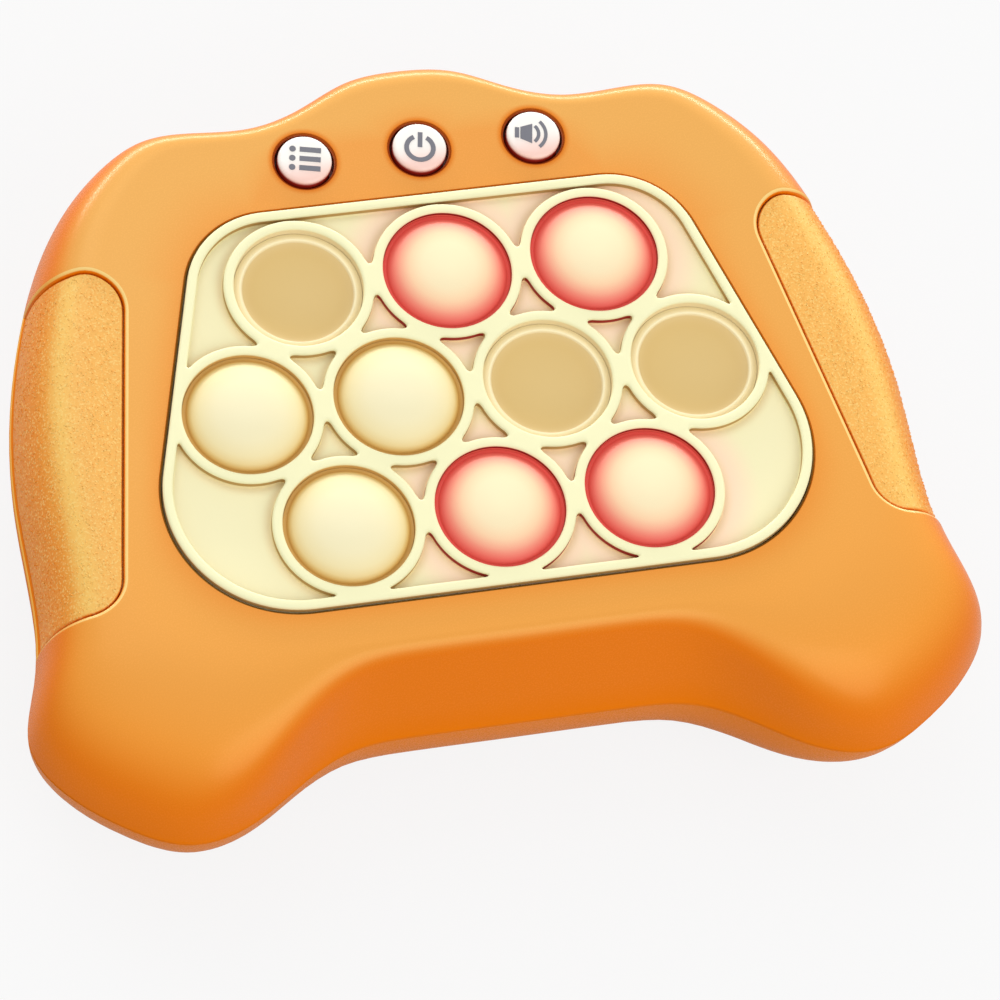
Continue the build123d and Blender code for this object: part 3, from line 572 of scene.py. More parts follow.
# %% [markdown]
# ## From arrays to objects
#
# Every piece below ends as a mesh in metres, at the origin, on one body of the frame. One function does
# that for all of them. It takes points in millimetres and the faces between them, closes seams by
# merging doubled points, turns the faces outwards, and marks an edge as sharp where the surface turns
# by more than an angle, so that curves look smooth and corners crisp.

# %% Make a piece
def finish_mesh(mesh, sharp_angle, merge):
    """Merges doubles, turns faces outwards and shades smooth but for sharp edges."""
    work = bmesh.new()
    work.from_mesh(mesh)
    bmesh.ops.remove_doubles(work, verts=work.verts, dist=merge * mm)
    bmesh.ops.dissolve_degenerate(work, edges=work.edges, dist=merge * mm)
    bmesh.ops.recalc_face_normals(work, faces=work.faces)
    work.to_mesh(mesh)
    open_edges = sum(1 for edge in work.edges if len(edge.link_faces) != 2)
    work.free()
    mesh.shade_smooth()
    mesh.set_sharp_from_angle(angle=radians(sharp_angle))
    return open_edges


def store_lean(mesh):
    """Stores how far each point of a mesh faces up, for the materials that read it."""
    if "lean" in mesh.attributes:
        return
    normals = np.zeros(len(mesh.vertices) * 3)
    mesh.vertices.foreach_get("normal", normals)
    lean = mesh.attributes.new("lean", "FLOAT", "POINT")
    lean.data.foreach_set("value", np.clip(normals[2::3], 0, 1).copy())


def place_piece(name, mesh, body, slot, *nodes):
    """An object that rides on a body and may stand for CAD nodes; a case or grip slot stores lean on it."""
    if slot in ("case_plastic", "grip_plastic"):
        store_lean(mesh)
    piece = linked(name, mesh)
    if nodes:
        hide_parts(*nodes)
    if body:
        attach(piece, body)
    return piece


def mesh_from(name, points, faces, *materials, kinds=None):
    """A mesh from points in millimetres. Kinds tell which of its materials each face has."""
    mesh = bpy.data.meshes.new(name)
    mesh.from_pydata([tuple(value * mm for value in point) for point in points], [], faces)
    for material in materials:
        mesh.materials.append(material)
    if kinds:
        mesh.polygons.foreach_set("material_index", kinds)
    return mesh


def smooth_copy(name, node, body, slot, material, sharp_angle=35):
    """A merged and smoothed copy of a CAD node, which takes the node's place."""
    mesh = frame["nodes"][node].data.copy()
    mesh.materials.clear()
    mesh.materials.append(material)
    open_edges = finish_mesh(mesh, sharp_angle, 0.0005)
    print(name, len(mesh.polygons), "faces", open_edges, "open edges")
    return place_piece(name, mesh, body, slot, node)


print("piece helpers ready")

# %% [markdown]
# ## The case's outline by rule
#
# The case has no straight side: its outline in plan is a smooth loop through 42 points, and it changes
# with height. Three loops rule it: the rim at the parting line, the edge of the flat face, and the edge
# of the flat back. Each point climbs from rim to face in a straight lean and then a rolled corner, and
# two lists say how much of each. The same numbers drive the CAD model, so both surfaces agree. Here the
# loops are sampled far more finely.

# %% Case outline
half_width = 70.0
half_length = 57.0
parting_height = 21.7
wall = 2.4
rim_shares = np.array((
    (0, 1.0), (0.113, 0.983), (0.226, 0.915), (0.346, 0.873), (0.471, 0.881), (0.585, 0.875),
    (0.691, 0.798), (0.786, 0.662), (0.867, 0.446), (0.921, 0.207), (0.946, -0.044),
    (0.946, -0.295), (0.968, -0.519), (1.0, -0.692), (0.932, -0.84), (0.842, -0.93),
    (0.717, -0.998), (0.597, -0.972), (0.478, -0.885), (0.358, -0.812), (0.22, -0.796),
    (0, -0.796),
))
face_edge_shares = np.array((
    (0, 0.9), (0.108, 0.887), (0.216, 0.833), (0.334, 0.789), (0.461, 0.789), (0.549, 0.768),
    (0.622, 0.686), (0.685, 0.57), (0.732, 0.392), (0.77, 0.176), (0.789, -0.044),
    (0.786, -0.241), (0.761, -0.403), (0.71, -0.511), (0.654, -0.565), (0.597, -0.596),
    (0.541, -0.615), (0.481, -0.627), (0.418, -0.632), (0.339, -0.634), (0.22, -0.634),
    (0, -0.634),
))
base_edge_shares = np.array((
    (0, 0.759), (0.104, 0.747), (0.201, 0.705), (0.302, 0.674), (0.402, 0.666), (0.484, 0.639),
    (0.553, 0.562), (0.613, 0.454), (0.66, 0.315), (0.698, 0.153), (0.72, -0.032),
    (0.726, -0.225), (0.723, -0.356), (0.704, -0.449), (0.669, -0.503), (0.632, -0.538),
    (0.585, -0.557), (0.522, -0.565), (0.446, -0.546), (0.346, -0.519), (0.217, -0.507),
    (0, -0.507),
))
base_lean = 0.1
lean_shares = np.array(
    [0.3] * 6 + [0.2, 0.12] + [0.1] * 6 + [0.12, 0.15, 0.22, 0.33, 0.55, 0.76, 0.83, 0.83]
)[:, None]
roll_shares = np.array(
    [0.45] * 6 + [0.7, 0.9] + [1.0] * 8 + [0.9, 0.7, 0.38, 0.2, 0.15, 0.15]
)[:, None]


def both_sides(half):
    """The whole loop from its right half, clockwise from the middle of the back."""
    return np.vstack((half, half[-2:0:-1] * (-1, 1)))


def face_loop(rise):
    """The front case's 42 points at a share of the way up from the rim to the flat face."""
    size = (half_width, half_length)
    rim, edge = rim_shares * size, face_edge_shares * size
    corner = rim + (edge - rim) * lean_shares
    turn = corner + (rim - corner) * roll_shares
    left = np.sqrt(np.clip(1 - rise, 0, None) / roll_shares)
    rolled = turn * left**2 + corner * 2 * left * (1 - left) + edge * (1 - left) ** 2
    straight = rim + (corner - rim) * rise
    return both_sides(np.where(rise <= 1 - roll_shares, straight, rolled))


def base_loop(drop):
    """The back case's 42 points at a share of the way down from the rim to the flat back."""
    size = (half_width, half_length)
    rim, edge = rim_shares * size, base_edge_shares * size
    corner = rim + (edge - rim) * base_lean
    left = sqrt(1 - drop)
    return both_sides(rim * left**2 + corner * 2 * left * (1 - left) + edge * (1 - left) ** 2)


rim_loop = face_loop(0.0)
spans = np.hypot(*(np.roll(rim_loop, -1, 0) - rim_loop).T)
steps = np.concatenate(([0], np.cumsum(spans))) / spans.sum()


def smooth_loop(points, samples):
    """A closed cubic spline through the points, which lie at steps of its way round."""
    count = len(points)
    gaps = np.diff(steps)[:, None]
    slopes = (np.roll(points, -1, 0) - points) / gaps
    system = np.zeros((count, count))
    for index in range(count):
        before, after = gaps[index - 1, 0], gaps[index, 0]
        system[index, index - 1] += before
        system[index, index] += 2 * (before + after)
        system[index, (index + 1) % count] += after
    bend = np.linalg.solve(system, 6 * (slopes - np.roll(slopes, 1, 0)))
    at = np.arange(samples) / samples
    span = np.searchsorted(steps, at, side="right") - 1
    nxt = (span + 1) % count
    gap = gaps[span]
    ahead = ((at - steps[span]) / gap[:, 0])[:, None]
    behind = 1 - ahead
    curve = behind * points[span] + ahead * points[nxt]
    pull = (behind**3 - behind) * bend[span] + (ahead**3 - ahead) * bend[nxt]
    return curve + pull * gap**2 / 6


def inset(points, distance):
    """The loop moved in square to itself. A negative distance moves it out."""
    along = np.roll(points, -1, 0) - np.roll(points, 1, 0)
    along /= np.hypot(*along.T)[:, None]
    return points + np.stack((along[:, 1], -along[:, 0]), 1) * distance


round_samples = 480
outer_rim = smooth_loop(rim_loop, round_samples)
print("rim", np.round(np.ptp(outer_rim, axis=0), 1), "mm across")

# %% [markdown]
# ## The front case
#
# The front case is one closed shell: the outer wall, the flat face with its openings, the inner wall
# and the bottom rim. Walls are bands of quads between loops. The flat face between the outer loop and
# the openings is filled by a constrained triangulation, which may be uneven because it is flat. Two
# loops just inside the face's edge keep the shading of the rolled corner from smearing into the flat.
# Every opening has a small rounding of 0.35 mm, as a moulding has, and that is what catches the light.

# %% Front case shell
panel_corners = ((35.1, 32.8, 13.2), (53.7, -30.4, 18.5))
panel_samples = 40


def panel_loop(grow):
    """The panel's rounded trapezoid, clockwise from its top right corner, grown by a distance."""
    (top_x, top_y, top_round), (low_x, low_y, low_round) = panel_corners
    along = np.array((low_x - top_x, low_y - top_y))
    along /= np.hypot(*along)
    outward = np.array((-along[1], along[0]))
    top_mid = top_y - top_round
    top_centre = (top_x - (top_round + (top_mid - top_y) * outward[1]) / outward[0], top_mid)
    low_mid = low_y + low_round
    low_centre = (low_x - (low_round + (low_mid - low_y) * outward[1]) / outward[0], low_mid)
    tilt = np.arctan2(outward[1], outward[0])
    points = []
    for (x, y), radius, start, end in (
        (top_centre, top_round, pi / 2, tilt),
        (low_centre, low_round, tilt, -pi / 2),
    ):
        for angle in np.linspace(start, end, panel_samples):
            points.append((x + (radius + grow) * cos(angle), y + (radius + grow) * sin(angle)))
    right_half = np.array(points)
    return np.vstack((right_half, right_half[::-1] * (-1, 1)))


def round_loop(x, y, radius, samples=72):
    angle = -np.arange(samples) / samples * 2 * pi
    return np.stack((x + radius * np.cos(angle), y + radius * np.sin(angle)), 1)


class Shell:
    """Points and faces of one mesh under construction, in millimetres."""

    def __init__(self):
        self.points = []
        self.faces = []
        self.kinds = []

    def loop(self, plan, height):
        """Adds a closed loop at one height and returns its point numbers."""
        first = len(self.points)
        self.points.extend((x, y, height) for x, y in plan)
        return list(range(first, first + len(plan)))

    def band(self, lower, upper, kind=0):
        """Quads between two loops of the same count, all of one kind, which picks their material."""
        count = len(lower)
        for index in range(count):
            after = (index + 1) % count
            self.faces.append((lower[index], lower[after], upper[after], upper[index]))
            self.kinds.append(kind)

    def walls(self, loops):
        """Bands between each loop and the next."""
        for lower, upper in zip(loops, loops[1:]):
            self.band(lower, upper)

    def fill(self, edge, holes):
        """Triangles between an outer loop and the loops of some holes, all at one height."""
        numbers = list(edge) + [number for hole in holes for number in hole]
        flat = [Vector(self.points[number][:2]) for number in numbers]
        borders, first = [], 0
        for ring in (edge, *holes):
            count = len(ring)
            borders += [(first + i, first + (i + 1) % count) for i in range(count)]
            first += count
        _, _, triangles, origins, _, _ = delaunay_2d_cdt(flat, borders, [], 1, 1e-7)
        walls = {frozenset((numbers[a], numbers[b])) for a, b in borders}
        corners = [[numbers[origins[corner][0]] for corner in triangle] for triangle in triangles]
        beside = {}
        for index, (a, b, c) in enumerate(corners):
            for side in (frozenset((a, b)), frozenset((b, c)), frozenset((c, a))):
                beside.setdefault(side, []).append(index)
        rim = {frozenset((a, b)) for a, b in zip(edge, edge[1:])}
        waiting = [index for side in rim for index in beside.get(side, [])]
        kept = set(waiting)
        while waiting:
            a, b, c = corners[waiting.pop()]
            for side in (frozenset((a, b)), frozenset((b, c)), frozenset((c, a))):
                if side not in walls:
                    fresh = [index for index in beside[side] if index not in kept]
                    kept.update(fresh)
                    waiting += fresh
        for index in sorted(kept):
            self.faces.append(tuple(corners[index]))
            self.kinds.append(0)


edge_round = 0.35
face_underside = case_height - wall
rounding = [(1 - sin(angle), 1 - cos(angle)) for angle in np.linspace(0, pi / 2, 5)]
wall_rows = 40
start_share = sqrt(1 - edge_round / (case_height - parting_height))
rises = [1 - (start_share * (1 - row / wall_rows)) ** 2 for row in range(wall_rows + 1)]
shell = Shell()
rows = []
for away, up in rounding[:-1]:
    rows.append(shell.loop(inset(outer_rim, edge_round * away), parting_height + edge_round * up))
for rise in rises:
    height = parting_height + rise * (case_height - parting_height)
    rows.append(shell.loop(smooth_loop(face_loop(rise), round_samples), height))
face_edge = smooth_loop(face_loop(1.0), round_samples)
for away in (0.3, 0.8):
    rows.append(shell.loop(inset(face_edge, away), case_height))
shell.walls(rows)
button_places = [(side * button_spacing, button_line) for side in (-1, 0, 1)]
openings = [panel_loop]
openings += [lambda grow, x=x, y=y: round_loop(x, y, button_hole_radius + grow) for x, y in button_places]
top_holes, low_holes = [], []
for opening in openings:
    # Painted shade on the wall of the panel opening and the inner half of its rounding; painted red lamp
    # light on the walls of the button holes.
    kind = 1 if opening is openings[0] else 2
    lip = [
        shell.loop(opening(edge_round * up), case_height - edge_round * away)
        for away, up in [(1 - up, 1 - away) for away, up in rounding][::-1]
    ]
    for step, (upper, lower) in enumerate(zip(lip, lip[1:])):
        shell.band(upper, lower, 1 if kind == 1 and step > 1 else 0)
    lip.append(shell.loop(opening(0), face_underside))
    shell.band(lip[-2], lip[-1], kind)
    top_holes.append(lip[0])
    low_holes.append(lip[-1])
shell.fill(rows[-1], top_holes)
inner = []
for share in np.linspace(0, 1, 14) ** 0.6:
    height = parting_height + wall + share * (case_height - parting_height - wall)
    rise = (height - parting_height) / (case_height - parting_height)
    depth = wall * (0.9 - 0.3 * share)
    inner.append(shell.loop(inset(smooth_loop(face_loop(rise), round_samples), depth), height - wall))
shell.walls(inner)
shell.band(rows[0], inner[0])
shell.fill(inner[-1], low_holes)
front_mesh = mesh_from(
    "front_case", shell.points, shell.faces, case_abs, gap_shade, lit_gap, painted_edge_highlight, kinds=shell.kinds
)
print("front case", len(front_mesh.polygons), "faces", finish_mesh(front_mesh, 35, 0.0005), "open edges")

# %% [markdown]
# ## Beds and grips
#
# Each grip is a thin skin let into the side of the case, and its surface is the case's own. In plan its
# inner edge slants and its two inner corners are round, so the grip is built as a patch: one row of
# points per height along the case, each row following the case's section from just above the parting
# line up to that edge. The same patch, grown a little and pushed in or out along its normals, makes both
# the grip and the tool that cuts its bed. The grip lies 0.4 mm below the case's surface, and the bed's
# rounded lip carries a painted highlight, a paler orange. The narrow gap round the grip draws the dark line
# beside it.

# %% Grip patch
grip_top_y, grip_low_y = 26.8, -25.8
grip_top_x, grip_low_x = 46.4, 55.7
grip_top_round, grip_low_round = 6.0, 5.0
grip_start = 22.7
grip_across = 44
wall_heights = np.array([parting_height + rise * (case_height - parting_height) for rise in rises])
wall_loops = [smooth_loop(face_loop(rise), round_samples) for rise in rises]


def side_x(loop, y):
    """How far the right side of a loop stands from the middle at a y."""
    near = loop[(loop[:, 0] > 40) & (loop[:, 1] > -31.5) & (loop[:, 1] < 38)]
    near = near[np.argsort(near[:, 1])]
    return np.interp(y, near[:, 1], near[:, 0])


def grip_rows(grow):
    """The patch's rows from front to back: their y and the x of the slanted edge."""
    slant = np.array((grip_low_x - grip_top_x, grip_low_y - grip_top_y))
    slant /= np.hypot(*slant)
    outward = np.array((slant[1], -slant[0]))
    turn = np.arctan2(outward[1], outward[0])
    found = []
    for corner_y, corner_x, radius, side in (
        (grip_low_y, grip_low_x, grip_low_round, 1),
        (grip_top_y, grip_top_x, grip_top_round, -1),
    ):
        mid_y = corner_y + side * radius
        mid_x = corner_x + (radius + (mid_y - corner_y) * outward[1]) / -outward[0]
        found.append((mid_x, mid_y, radius + grow))
    (low_x, low_y, low_radius), (top_x, top_y, top_radius) = found
    turn = turn % (2 * pi)
    rows = []
    for angle in np.linspace(1.5 * pi, turn, 14):
        rows.append((low_y + low_radius * sin(angle), low_x + low_radius * cos(angle)))
    first, last = rows[-1], (top_y + top_radius * sin(turn), top_x + top_radius * cos(turn))
    for share in np.linspace(0, 1, 40)[1:-1]:
        rows.append(tuple(np.array(first) + (np.array(last) - np.array(first)) * share))
    for angle in np.linspace(turn, pi / 2, 14):
        rows.append((top_y + top_radius * sin(angle), top_x + top_radius * cos(angle)))
    return rows


def grip_patch(grow, lift):
    """Points of the right grip's patch, grown in plan and lifted along the case's normals."""
    grid, slants = [], []
    up = np.append(wall_heights, case_height)
    for y, inner_x in grip_rows(grow):
        across = np.array([side_x(loop, y) for loop in wall_loops] + [30.0])
        drift = np.array([side_x(loop, y + 0.5) - side_x(loop, y - 0.5) for loop in wall_loops] + [0.0])
        low = grip_start - grow
        keep = up > low
        xs = np.append(np.interp(low, up[:-1], across[:-1]), across[keep])
        zs = np.append(low, up[keep])
        end = np.interp(-inner_x, -xs, np.arange(len(xs)))
        whole = int(end)
        share = end - whole
        after = min(whole + 1, len(xs) - 1)
        xs = np.append(xs[: whole + 1], xs[whole] + (xs[after] - xs[whole]) * share)
        zs = np.append(zs[: whole + 1], zs[whole] + (zs[after] - zs[whole]) * share)
        length = np.append(0, np.cumsum(np.hypot(np.diff(xs), np.diff(zs))))
        at = np.linspace(0, length[-1], grip_across)
        grid.append([(x, y, z) for x, z in zip(np.interp(at, length, xs), np.interp(at, length, zs))])
        slants.append([(slant, 1.0, 0.0) for slant in np.interp(np.interp(at, length, zs), up, drift)])
    grid = np.array(grid)
    normal = np.cross(np.array(slants), np.gradient(grid, axis=1))
    normal /= np.maximum(np.linalg.norm(normal, axis=2, keepdims=True), 1e-9)
    if normal[20, 20, 0] < 0:
        normal = -normal
    return grid + normal * lift


def patch_solid(levels, shown=()):
    """A closed solid whose first and last levels are patches and whose sides pass through the rest.

    The kinds of its faces come too: 3 for the sides that start from the shown levels, and else 0.
    """
    tall, wide = levels[0].shape[:2]
    border = [(0, j) for j in range(wide)] + [(i, wide - 1) for i in range(1, tall)]
    border += [(tall - 1, j) for j in range(wide - 2, -1, -1)] + [(i, 0) for i in range(tall - 2, 0, -1)]
    points, faces, rings = [], [], []
    for index, level in enumerate(levels):
        first = len(points)
        if index in (0, len(levels) - 1):
            points.extend(level.reshape(-1, 3))
            rings.append([first + i * wide + j for i, j in border])
            for i in range(tall - 1):
                for j in range(wide - 1):
                    corner = first + i * wide + j
                    faces.append((corner, corner + 1, corner + wide + 1, corner + wide))
        else:
            points.extend(level[i, j] for i, j in border)
            rings.append(list(range(first, first + len(border))))
    kinds = [0] * len(faces)
    for level, (lower, upper) in enumerate(zip(rings, rings[1:])):
        for index in range(len(border)):
            after = (index + 1) % len(border)
            faces.append((lower[index], lower[after], upper[after], upper[index]))
            kinds.append(3 if level in shown else 0)
    return points, faces, kinds


def mirrored(points):
    return [(-x, y, z) for x, y, z in points]


bed_steps = (  # growth in plan and lift of each level, in millimetres
    (0.22, -1.6), (0.22, -0.6), (0.26, -0.4), (0.38, -0.2), (0.58, -0.06), (0.82, -0.005), (1.1, 0.05),
    (1.1, 0.8),
)
grip_steps = ((0, -1.5), (0, -0.76), (-0.05, -0.57), (-0.17, -0.45), (-0.34, -0.4), (-0.6, -0.4))
bed_levels = [grip_patch(grow, lift) for grow, lift in bed_steps]
grip_levels = [grip_patch(grow, lift) for grow, lift in grip_steps]
print("grip patch", grip_levels[0].shape, "reaches x", round(grip_levels[-1][..., 0].max(), 1))

# %% [markdown]
# ## Cutting the beds
#
# The bed is cut from the shell on both sides by an exact difference. Cutting leaves long thin faces
# beside the flat top, so the normals are then weighed by face area: broad faces keep their own
# direction and only the small roundings bend the light.

# %% Cut the beds and dress the case
def weigh_normals(mesh):
    """Normals that follow the broad faces, so that flats stay flat beside small roundings."""
    helper = linked("helper", mesh)
    weighed = helper.modifiers.new("weigh", "WEIGHTED_NORMAL")
    weighed.keep_sharp = True
    weighed.weight = 70
    return baked(helper)


def baked(helper):
    """The mesh of an object with its modifiers worked in. The object goes."""
    helper.data.update()
    depsgraph = bpy.context.evaluated_depsgraph_get()
    result = bpy.data.meshes.new_from_object(
        helper.evaluated_get(depsgraph), preserve_all_data_layers=True, depsgraph=depsgraph
    )
    bpy.data.objects.remove(helper)
    return result


bed_points, bed_faces, bed_kinds = patch_solid(bed_levels, shown=(3, 4))
cutter_points = list(bed_points) + mirrored(bed_points)
cutter_faces = bed_faces + [tuple(n + len(bed_points) for n in face[::-1]) for face in bed_faces]
dressing = (case_abs, gap_shade, lit_gap, painted_edge_highlight)
cutter_mesh = mesh_from("bed_tool", cutter_points, cutter_faces, *dressing, kinds=bed_kinds * 2)
finish_mesh(cutter_mesh, 35, 0.0005)
cutter = linked("bed_tool", cutter_mesh)
blank = linked("front_blank", front_mesh)
cut = blank.modifiers.new("beds", "BOOLEAN")
cut.operation = "DIFFERENCE"
cut.solver = "EXACT"
cut.object = cutter
case_mesh = baked(blank)
bpy.data.objects.remove(cutter)
open_edges = finish_mesh(case_mesh, 35, 0.002)
front_case = place_piece("front_case", weigh_normals(case_mesh), "case", "case_plastic", "front_shell")
print("front case", len(front_case.data.polygons), "faces", open_edges, "open edges")

grip_points, grip_faces, _ = patch_solid(grip_levels)
for name, points in (("right_grip", grip_points), ("left_grip", mirrored(grip_points))):
    grip_mesh = mesh_from(name, points, grip_faces, grip_plastic)
    open_edges = finish_mesh(grip_mesh, 40, 0.0005)
    node = "grip_right" if name == "right_grip" else "grip_left"
    place_piece(name, grip_mesh, "case", "grip_plastic", node)
    print(name, len(grip_mesh.polygons), "faces", open_edges, "open edges")

# %% [markdown]
# ## Grain on the grips
#
# The grips feel rough: small nubs stand on them about every 0.8 mm, at random. Geometry Nodes scatters
# them on the grip's own surface with a fixed seed, gives each a size of its own, and makes them real
# faces. A nub is a tiny ball sunk to its middle. It takes the lean of the skin under it, so that it has
# the grip's colour there, painted light and shade included.

# %% Nubs by Geometry Nodes
def nub_tree():
    tree = bpy.data.node_groups.new("grip_nubs", "GeometryNodeTree")
    for name, kind in (
        ("Geometry", "NodeSocketGeometry"), ("Density", "NodeSocketFloat"),
        ("Nub Radius", "NodeSocketFloat"), ("Seed", "NodeSocketInt"), ("Material", "NodeSocketMaterial"),
    ):
        tree.interface.new_socket(name, in_out="INPUT", socket_type=kind)
    tree.interface.new_socket("Geometry", in_out="OUTPUT", socket_type="NodeSocketGeometry")
    inputs = add(tree, "NodeGroupInput").outputs
    scatter = add(
        tree,
        "GeometryNodeDistributePointsOnFaces",
        {"Mesh": inputs["Geometry"], "Density": inputs["Density"], "Seed": inputs["Seed"]},
    )
    upward = add(tree, "ShaderNodeSeparateXYZ", {"Vector": scatter.outputs["Normal"]}).outputs["Z"]
    marked = add(
        tree,
        "GeometryNodeStoreNamedAttribute",
        {
            "Geometry": scatter.outputs["Points"],
            "Name": "lean",
            "Value": maths(tree, "ABSOLUTE", upward),
        },
        data_type="FLOAT",
        domain="POINT",
    )
    ball = add(tree, "GeometryNodeMeshIcoSphere", {"Radius": inputs["Nub Radius"], "Subdivisions": 1})
    size = add(
        tree, "FunctionNodeRandomValue", {2: 0.55, 3: 1.15, "Seed": inputs["Seed"]}, data_type="FLOAT"
    )
    nubs = add(
        tree,
        "GeometryNodeInstanceOnPoints",
        {"Points": marked.outputs["Geometry"], "Instance": ball.outputs["Mesh"], "Scale": size.outputs[1]},
    )
    real = add(tree, "GeometryNodeRealizeInstances", {"Geometry": nubs.outputs["Instances"]})
    smooth = add(tree, "GeometryNodeSetShadeSmooth", {"Geometry": real.outputs["Geometry"]})
    dressed = add(
        tree,
        "GeometryNodeSetMaterial",
        {"Geometry": smooth.outputs["Geometry"], "Material": inputs["Material"]},
    )
    add(tree, "NodeGroupOutput", {"Geometry": dressed.outputs["Geometry"]})
    return tree


def grown(name, mesh, tree, **values):
    """The mesh that a Geometry Nodes tree makes of a mesh, with the tree's inputs by name."""
    helper = linked(name, mesh)
    modifier = helper.modifiers.new(name, "NODES")
    modifier.node_group = tree
    sockets = {item.name: item.identifier for item in tree.interface.items_tree if item.in_out == "INPUT"}
    for key, value in values.items():
        modifier[sockets[key.replace("_", " ")]] = value
    return baked(helper)


nubs = nub_tree()
nub_density = 1.5e6  # on a square metre
nub_radius = 0.13
skin = grip_levels[-1]
tall, wide = skin.shape[:2]
skin_faces = [
    (i * wide + j, i * wide + j + 1, (i + 1) * wide + j + 1, (i + 1) * wide + j)
    for i in range(tall - 1)
    for j in range(wide - 1)
]
skin_points = [tuple(point) for point in skin.reshape(-1, 3)]
for name, points in (("right_grip_grain", skin_points), ("left_grip_grain", mirrored(skin_points))):
    sheet = mesh_from(name, points, skin_faces, grip_plastic)
    grain_mesh = grown(
        name, sheet, nubs, Density=nub_density, Nub_Radius=nub_radius * mm, Seed=len(name),
        Material=grip_plastic,
    )
    place_piece(name, grain_mesh, "case", "grip_plastic")
    print(name, len(grain_mesh.polygons), "faces")

# %% [markdown]
# ## Copies that only need smooth shading
#
# The rest of the outside already has its form in CAD: the back case, the battery door and the box under
# the mat. So do the cells and their contacts, the screws and the speaker. Each gets a copy whose loose
# triangles are joined, so that curves shade smoothly. The back
# case's wall is made of long uneven triangles, and light would run over them in steps. Its own rule
# tells which way the wall really faces, so every corner that lies on the wall takes that direction.

# %% Smooth copies
def rule_normals(mesh, rows):
    """Turns the normals of corners that lie on a surface given as rows of points to the surface's own."""
    along = np.roll(rows, -1, 1) - np.roll(rows, 1, 1)
    normals = np.cross(along, np.gradient(rows, axis=0))
    normals /= np.maximum(np.linalg.norm(normals, axis=2, keepdims=True), 1e-12)
    if normals[1, 0, 1] < 0:
        normals = -normals
    tall, around = rows.shape[:2]
    quads = [
        (
            i * around + j,
            i * around + (j + 1) % around,
            (i + 1) * around + (j + 1) % around,
            (i + 1) * around + j,
        )
        for i in range(tall - 1)
        for j in range(around)
    ]
    surface = BVHTree.FromPolygons([tuple(point * mm) for point in rows.reshape(-1, 3)], quads)
    found = {}
    for vertex in mesh.vertices:
        spot, _, index, away = surface.find_nearest(vertex.co)
        if away < 0.3 * mm:
            i, j = divmod(index, around)
            after = (j + 1) % around
            up = (spot.z / mm - rows[i, j, 2]) / (rows[i + 1, j, 2] - rows[i, j, 2])
            start = rows[i, j] * (1 - up) + rows[i + 1, j] * up
            side = rows[i, after] * (1 - up) + rows[i + 1, after] * up - start
            share = (np.array(spot) / mm - start) @ side / (side @ side)
            first = normals[i, j] * (1 - share) + normals[i, after] * share
            last = normals[i + 1, j] * (1 - share) + normals[i + 1, after] * share
            found[vertex.index] = Vector(first * (1 - up) + last * up).normalized()
    custom = [corner.vector.copy() for corner in mesh.corner_normals]
    turned_count = 0
    for face in mesh.polygons:
        for corner, vertex in zip(face.loop_indices, face.vertices):
            if vertex in found and found[vertex].dot(face.normal) > 0.8:
                custom[corner] = found[vertex]
                turned_count += 1
    mesh.normals_split_custom_set(custom)
    return turned_count


back_case = smooth_copy("back_case", "back_shell", "case", "case_plastic", case_abs)
drops = 1 - np.linspace(1, 0, 60) ** 2
base_rows = np.array([
    np.column_stack((
        smooth_loop(base_loop(drop), round_samples),
        np.full(round_samples, parting_height * (1 - drop)),
    ))
    for drop in drops
])
print(rule_normals(back_case.data, base_rows), "corners of the back case follow its rule")
smooth_copy("light_wells", "light_box", "case", "white_plastic", finishes["white_plastic"])
smooth_copy("door_cover", "battery_door", "battery_door", "case_plastic", case_abs)
for node, body in (
    ("battery_1", "case"), ("battery_2", "case"), ("battery_3", "case"), ("battery_springs", "case"),
    ("battery_plates", "case"), ("battery_door_screws", "battery_door"), ("case_screws", "case"),
    ("speaker_basket", "case"), ("speaker_cone", "case"),
):
    slot = next(part["material_slot"] for part in frame["record"]["subparts"] if part["node"] == node)
    smooth_copy(f"{node}_smooth", node, body, slot, finishes[slot])

# %% [markdown]
# ## The mat
#
# The mat is one moulding: a floor, a rim that follows the panel, and ten rings. Where two rings meet,
# or a ring meets the rim, the silicone fills the narrow wedge between them, so the pockets left between
# are small triangles with round corners. One rule gives all of that. At any point the distances to the
# rings and to the rim are joined by a rounded minimum, which is zero on the pockets' outlines. Each
# outline is walked from a start inside its pocket, and the walls, the soft foot and the rounded top
# edge are the same outline moved square to itself.

# %% Pocket outlines
rim_width = 1.5
mat_gap = 0.2
web_round = 1.2
rim_round = 0.4
centres = np.array(bubble_places)


